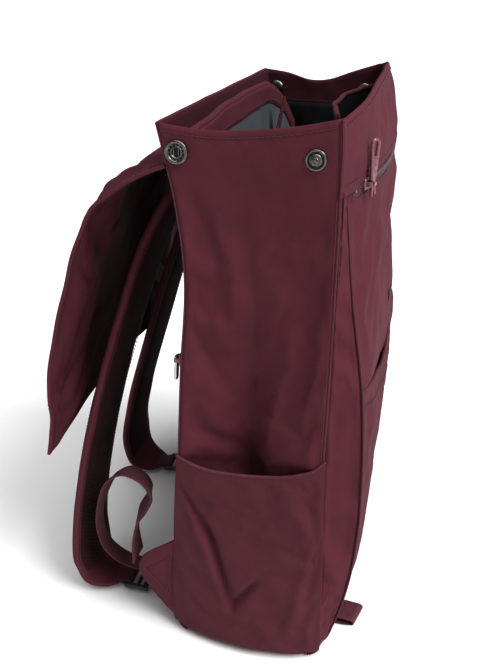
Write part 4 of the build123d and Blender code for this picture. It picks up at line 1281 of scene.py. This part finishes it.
def flap_strip(part, normal, hem):
    """One strip of the flap: two faces, closed edges, rolled side edges, a turned hem and the stitching."""
    piece = Piece()
    rows, columns = part.shape[:2]
    lower = part - normal * FLAP_THICK
    uv = grid_uv(part)
    index, quads = grid_faces(rows, columns)
    size = rows * columns
    faces = list(map(tuple, quads)) + [tuple(q[::-1] + size) for q in quads]
    for line in (index[:, 0], index[:, -1], index[0], index[-1]):
        faces += [(a, b, b + size, a + size) for a, b in zip(line, line[1:])]
    kinds = [0] * len(quads) + [1] * len(quads) + [0] * (len(faces) - 2 * len(quads))
    piece.add(np.concatenate([part.reshape(-1, 3), lower.reshape(-1, 3)]), faces,
              np.concatenate([uv.reshape(-1, 2)] * 2))
    piece.kinds = kinds

    def edge_roll(edge, up):
        piece.tube(part[edge] - normal[edge] * FLAP_THICK / 2, 1.35, up=up, sides=10)

    def stitched(row):
        piece.stitches(part[row] + normal[row] * 0.15, normal[row], 2)
        piece.stitches(part[row] - normal[row] * (FLAP_THICK + 0.15), -normal[row], 2)

    for column, inward in ((0, 3), (-1, -4)):
        edge_roll(np.s_[:, column], (0, 0, 1))
        stitched(np.s_[:, inward])
    if hem:
        edge_roll(np.s_[-1], (0, 1, 0))
        stitched(np.s_[-6, 3:-3])
    return piece


def flap_piping():
    low, high = node_box("flap_seam_piping")
    z = (low[2] + high[2]) / 2 + 3
    x = np.linspace(10 - FLAP_HALF, FLAP_HALF - 10, 80)
    Piece().tube(xyz(x, 50.5, z), 1.7, up=(0, 0, 1), sides=12).done(
        "flap_seam_cord", BINDING, "pack", "shell_cloth", ["flap_seam_piping"])


# ---- straps --------------------------------------------------------------------------------------------
# The stations of each strap and of its webbing, as the CAD has them.
STRAPS = {
    "left": [(-48, 51, 388), (-54, 66, 371), (-62, 79, 349), (-66, 89, 327), (-72, 102, 290), (-80, 117, 240),
             (-88, 131, 190), (-94, 142, 141), (-100, 152, 80), (-102, 154, 36), (-103, 147, 14),
             (-103, 136, 8.6), (-103, 126, 8.0)],
    "right": [(48, 51, 388), (52, 67, 371), (55, 82, 349), (57, 93, 327), (59, 107, 290), (61, 126, 240),
              (62, 142, 190), (63, 155, 150), (64, 171, 95), (65, 179, 45), (65, 172, 15), (65, 160, 8.6),
              (65, 149, 8.0)],
}
WEBBINGS = {
    "left": [(-103, 93, 9), (-105, 84, 11), (-107, 77, 17), (-109, 76, 25), (-111, 82, 32), (-115, 98, 38),
             (-119, 116, 47), (-122, 129, 63), (-123, 133, 88), (-124, 126, 120), (-126, 113, 145),
             (-127, 100, 154), (-128, 86, 150), (-129, 79, 139), (-129, 83, 127), (-130, 91, 112),
             (-131, 95, 92), (-132, 94.5, 68)],
    "right": [(65, 116, 9), (66, 107, 12), (68, 101, 19), (71, 102, 29), (76, 110, 38), (84, 122, 46),
              (96, 130, 54), (109, 127, 62), (120, 115, 67), (129, 101, 66)],
}
STRAP_HALF = 31.0
STRAP_STEP = 2.2  # between the rings of a strap's pad
STRAP_SEED = {"left": 61, "right": 67}
PAD_HALF_THICK = 3.4
WEB_WIDTH, WEB_THICK = 20.0, 1.5


def strap_frame(route):
    """For each point of a strap's line: the way across it, and the way to its inner face."""
    way = unit(np.gradient(route, axis=0))
    across = unit(np.array([1.0, 0, 0]) - way * way[:, :1])
    inner = np.cross(way, across)
    return across, inner


def pad_section():
    """A strap pad's section, as shares of its half width and half thickness, with a bed for the mesh."""
    outer = [(w * 0.96, -1.0 - 0.22 * (1 - w * w)) for w in np.linspace(-1, 1, 13)]
    edge = [(1.0, -0.55), (1.02, 0.0), (0.99, 0.5), (0.95, 0.72), (0.9, 0.72), (0.86, 0.72)]
    bed = [(w, 0.35) for w in (0.5, 0.0, -0.5)]
    return np.array(outer + edge + bed + [(-w, n) for w, n in reversed(edge)])


def strap(name):
    """One shoulder strap: its padded body with edge stitching, and the mesh on its inner face."""
    route = smooth_route(STRAPS[name], STRAP_STEP)
    count = len(route)
    across, inner = strap_frame(route)
    total = float(np.linalg.norm(np.diff(route, axis=0), axis=1).sum())
    place = np.linspace(0, 1, count) * total
    half = np.interp(place, [0, 18, 40, total - 52, total - 26, total - 8, total],
                     [24, 27, STRAP_HALF, STRAP_HALF, 26, 18, 12])
    thin = np.interp(place, [0, 14, total - 30, total], [0.7, 1, 1, 0.45])
    lift = ripple(place, 0, 70, STRAP_SEED[name]) * 1.2 * 0.4
    section = pad_section()
    w = section[:, 0] * half[:, None]
    n = section[:, 1] * PAD_HALF_THICK * thin[:, None] + lift[:, None]
    rings = route[:, None] + across[:, None] * w[..., None] + inner[:, None] * n[..., None]
    rings[..., 2] = np.maximum(rings[..., 2], 0.8)

    joint = pivot(f"strap_{name}_bend")
    near = int(np.argmin(np.linalg.norm(route - joint, axis=1)))
    way = unit(route[near + 4] - route[near - 4])
    bend = ("pack", f"strap_{name}", joint - way * 22, joint + way * 22)
    piece = Piece().loft(rings)
    keep = slice(6, count - 14)
    for edge in (-1, 1):
        for inset, height, face in ((0.92, 0.76, 1), (0.9, -1.0, -1)):
            row = route + across * (half * edge * inset)[:, None]
            row = row + inner * (PAD_HALF_THICK * thin * height)[:, None] + inner * face * 0.3
            piece.stitches(row[keep], inner[keep] * face, 1)
    pad = piece.done(f"strap_pad_{name}", [SHELL, THREAD], bend, "shell_cloth",
                     [f"strap_{name}_upper_pad", f"strap_{name}_lower_pad"], angle=60)
    strap_mesh(name, bend, place, half, thin, lift)


def strap_mesh(name, bend, known, half, thin, lift):
    """The ribbed mesh bed of a strap, whose half width, thinning and lift are known along it."""
    rows = smooth_route(STRAPS[name], 1.15)
    across, inner = strap_frame(rows)
    place = np.linspace(0, known[-1], len(rows))
    keep = (place > 8 * STRAP_STEP) & (place < (len(known) - 16) * STRAP_STEP)
    rows, across, inner, place = rows[keep], across[keep], inner[keep], place[keep]
    width = np.interp(place, known, half)[:, None] * 0.88
    thick = np.interp(place, known, thin)[:, None]
    w = np.linspace(-1, 1, 41)
    dome = np.clip(1 - np.abs(w) ** 5, 0, 1)
    ends = np.clip(np.minimum(place - place[0], place[-1] - place) / 6, 0, 1)[:, None] ** 0.5
    ribs = np.sin((w * width * SIDES[name] * 0.9 + place[:, None]) * 2 * math.pi / 4.4)
    height = (0.42 + 1.3 * dome * ends) * PAD_HALF_THICK * thick * 0.95 + 0.42 * ribs * dome * ends
    height = height + np.interp(place, known, lift)[:, None]
    grid = rows[:, None] + across[:, None] * (w * width)[..., None] + inner[:, None] * height[..., None]
    grid[..., 2] = np.maximum(grid[..., 2], 1.2)
    obj = Piece().cloth(grid, 1.0, inner.mean(0)).done(
        f"strap_mesh_{name}", MESH, bend, "air_mesh",
        [f"strap_{name}_upper_mesh", f"strap_{name}_lower_mesh"], angle=75)


def ribbon_grid(line, width, turn, columns=11):
    """A tape along a line: its width lies along X, turned about the line by turn, in radians."""
    across, other = strap_frame(line)
    turn = np.broadcast_to(turn, len(line))[:, None]
    across = across * np.cos(turn) + other * np.sin(turn)
    places = np.linspace(-0.5, 0.5, columns) * width
    return line[:, None] + across[:, None] * places[None, :, None]


def webbing(name):
    """The adjuster webbing, and the anchor at the strap's foot."""
    line = smooth_route(WEBBINGS[name], 1.6)
    share = np.linspace(0, 1, len(line))
    twist = 0.35 * np.sin(share * 2 * math.pi) * (1 if name == "left" else -1)
    grid = ribbon_grid(line, WEB_WIDTH, twist)
    facing = np.cross(unit(np.gradient(line, axis=0)), [1.0, 0, 0])
    grid[..., 2] = np.maximum(grid[..., 2], 2.2)
    strap_body = f"strap_{name}"
    start, end = line[int(len(line) * 0.55)], line[int(len(line) * 0.06)]
    piece = Piece().cloth(grid, WEB_THICK, facing[len(line) // 3])
    for column in (1, -2):
        piece.tube(grid[2:-2, column] + facing[2:-2] * 0.1, 0.45, sides=6, up=(1, 0, 0))
    piece.done(f"adjuster_{name}", WEBBING, ("pack", strap_body, start, end), "webbing_tape",
               [f"webbing_{name}"], angle=75)

    low, high = node_box(f"strap_{name}_anchor")
    x, z = (low[0] + high[0]) / 2, (low[2] + high[2]) / 2
    bar_y = low[1] + 4.0
    above = [(high[1] + 6, 1.2), (high[1] - 2, 1.6), (bar_y + 3, 2.6), (bar_y, 3.6), (bar_y - 3.3, 1.4)]
    path = [(x, y, z + h) for y, h in above] + [(x, y, z - h) for y, h in reversed(above)]
    grid = ribbon_grid(smooth_route(path, 0.8), WEB_WIDTH - 1, 0, columns=9)
    Piece().cloth(grid, 1.2, (0, 0, 1)).done(
        f"anchor_{name}", WEBBING, strap_body, "webbing_tape", [f"strap_{name}_anchor"], angle=75)


def ladder_lock(name):
    """A moulded ladder lock: two curved rails, the anchor's bar, a toothed middle bar and a thumb bar."""
    node = f"ladder_lock_{name}"
    low, high = node_box(node)
    middle = (low[0] + high[0]) / 2
    _, pivot_y, z = pivot(f"{node}_tilt")
    piece = Piece()
    rise = 0.2 + np.sin(np.linspace(0, math.pi, 18))
    turn = np.linspace(0, 2 * math.pi, 14, endpoint=False)
    wide, tall = (np.sign(wave) * np.abs(wave) ** 0.5 for wave in (np.cos(turn), np.sin(turn)))
    section = xyz(wide * 1.7, 0, tall * 2.1)
    for side in (-1, 1):
        rail = xyz(middle + side * (high[0] - low[0] - 3.2) / 2, np.linspace(high[1], low[1], 18), z + rise)
        piece.loft(rail[:, None] + section)
    half = (high[0] - low[0]) / 2 - 2
    x = middle + np.linspace(-half, half, 12)
    for dy, dz, radius, flat in ((0, 0, 1.9, 1.0), (-9.4, 0.1, 1.7, 0.9), (-17, 0.9, 2.6, 0.62)):
        piece.tube(xyz(x, pivot_y + dy, z + dz), radius, up=(0, 0, 1), flat=flat, sides=14)
    for x in middle + np.linspace(-7.5, 7.5, 7):
        piece.tube([(x, pivot_y - 19, z + 2.5), (x, pivot_y - 17, z + 2.7), (x, pivot_y - 15, z + 2.5)], 0.4,
                   up=(0, 0, 1))
    piece.done(f"adjuster_lock_{name}", LOCK, node, "lock_plastic", [node], angle=60)


# ---- everything ----------------------------------------------------------------------------------------
def bag():
    sides()
    back_wall()
    front_walls()
    bottom()
    inside()
    divider()
    inner_pocket()
    gussets()
    pouch()
    slip_pocket()
    badge()
    front_zip()
    front_zip_hardware()
    side_zip()
    side_pockets()
    corner_tabs()
    snaps()
    ground_loop()
    back_pad()
    yoke()
    flap_piping()
    board = frame["nodes"]["base_board"].data
    board.materials.clear()
    board.materials.append(BOARD)


def stage():
    """A pale floor and soft studio light."""
    mesh = bpy.data.meshes.new("floor")
    reach = 60  # metres from the middle to each edge
    corners = [(-reach, -reach, 0), (reach, -reach, 0), (reach, reach, 0), (-reach, reach, 0)]
    mesh.from_pydata(corners, [], [(0, 1, 2, 3)])
    floor = bpy.data.objects.new("floor", mesh)
    bpy.context.scene.collection.objects.link(floor)
    floor.data.materials.append(floor_paint())

    world = bpy.data.worlds.new("studio")
    world.use_nodes = True
    world.node_tree.nodes["Background"].inputs["Color"].default_value = (1, 1, 1, 1)
    world.node_tree.nodes["Background"].inputs["Strength"].default_value = 0.3
    bpy.context.scene.world = world
    for name, direction, spread, strength in (
        ("key", (0.55, 1.75, -1.9), 32, 2.5),
        ("top", (0.5, 0.35, -3.0), 50, 1.35),
    ):
        light = bpy.data.lights.new(name, "SUN")
        light.energy, light.angle = strength, math.radians(spread)
        lamp = bpy.data.objects.new(name, light)
        lamp.location = (0, 0, 2)
        lamp.rotation_mode = "QUATERNION"
        lamp.rotation_quaternion = look_at(direction)
        bpy.context.scene.collection.objects.link(lamp)


def place_camera():
    """The camera at the photograph's viewing angle, and how the picture's tones are shown."""
    camera = bpy.data.cameras.new("camera")
    camera.sensor_width = 36
    camera.lens = 36.24
    camera.clip_start, camera.clip_end = 0.05, 100
    seat = bpy.data.objects.new("camera", camera)
    yaw, pitch = math.radians(14.69), math.radians(-27.63)
    forward = (math.cos(yaw) * math.cos(pitch), math.sin(yaw) * math.cos(pitch), math.sin(pitch))
    seat.location = (-0.519, -0.096, 0.500)
    seat.rotation_mode = "QUATERNION"
    seat.rotation_quaternion = look_at(forward)
    bpy.context.scene.collection.objects.link(seat)
    bpy.context.scene.camera = seat
    view = bpy.context.scene.view_settings
    view.view_transform, view.exposure, view.gamma = "Standard", 0.42, 0.8


def look_at(direction):
    """The turn that points a camera or a lamp along a direction, upright."""
    forward = unit(np.array(direction, float))
    right = unit(np.cross(forward, [0, 0, 1]))
    up = np.cross(right, forward)
    return Matrix(np.array([right, up, -forward]).T.tolist()).to_quaternion()


def floor_paint():
    shader = Shader("pale_floor", (0.82, 0.82, 0.82), 0.7)
    shader.rough(shader.grain(6, 2), 0.6, 0.75)
    return shader.material


bag()
for strap_name in SIDES:
    strap(strap_name)
    webbing(strap_name)
    ladder_lock(strap_name)
for strip, flat_size, resting in flap():
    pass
stage()
place_camera()
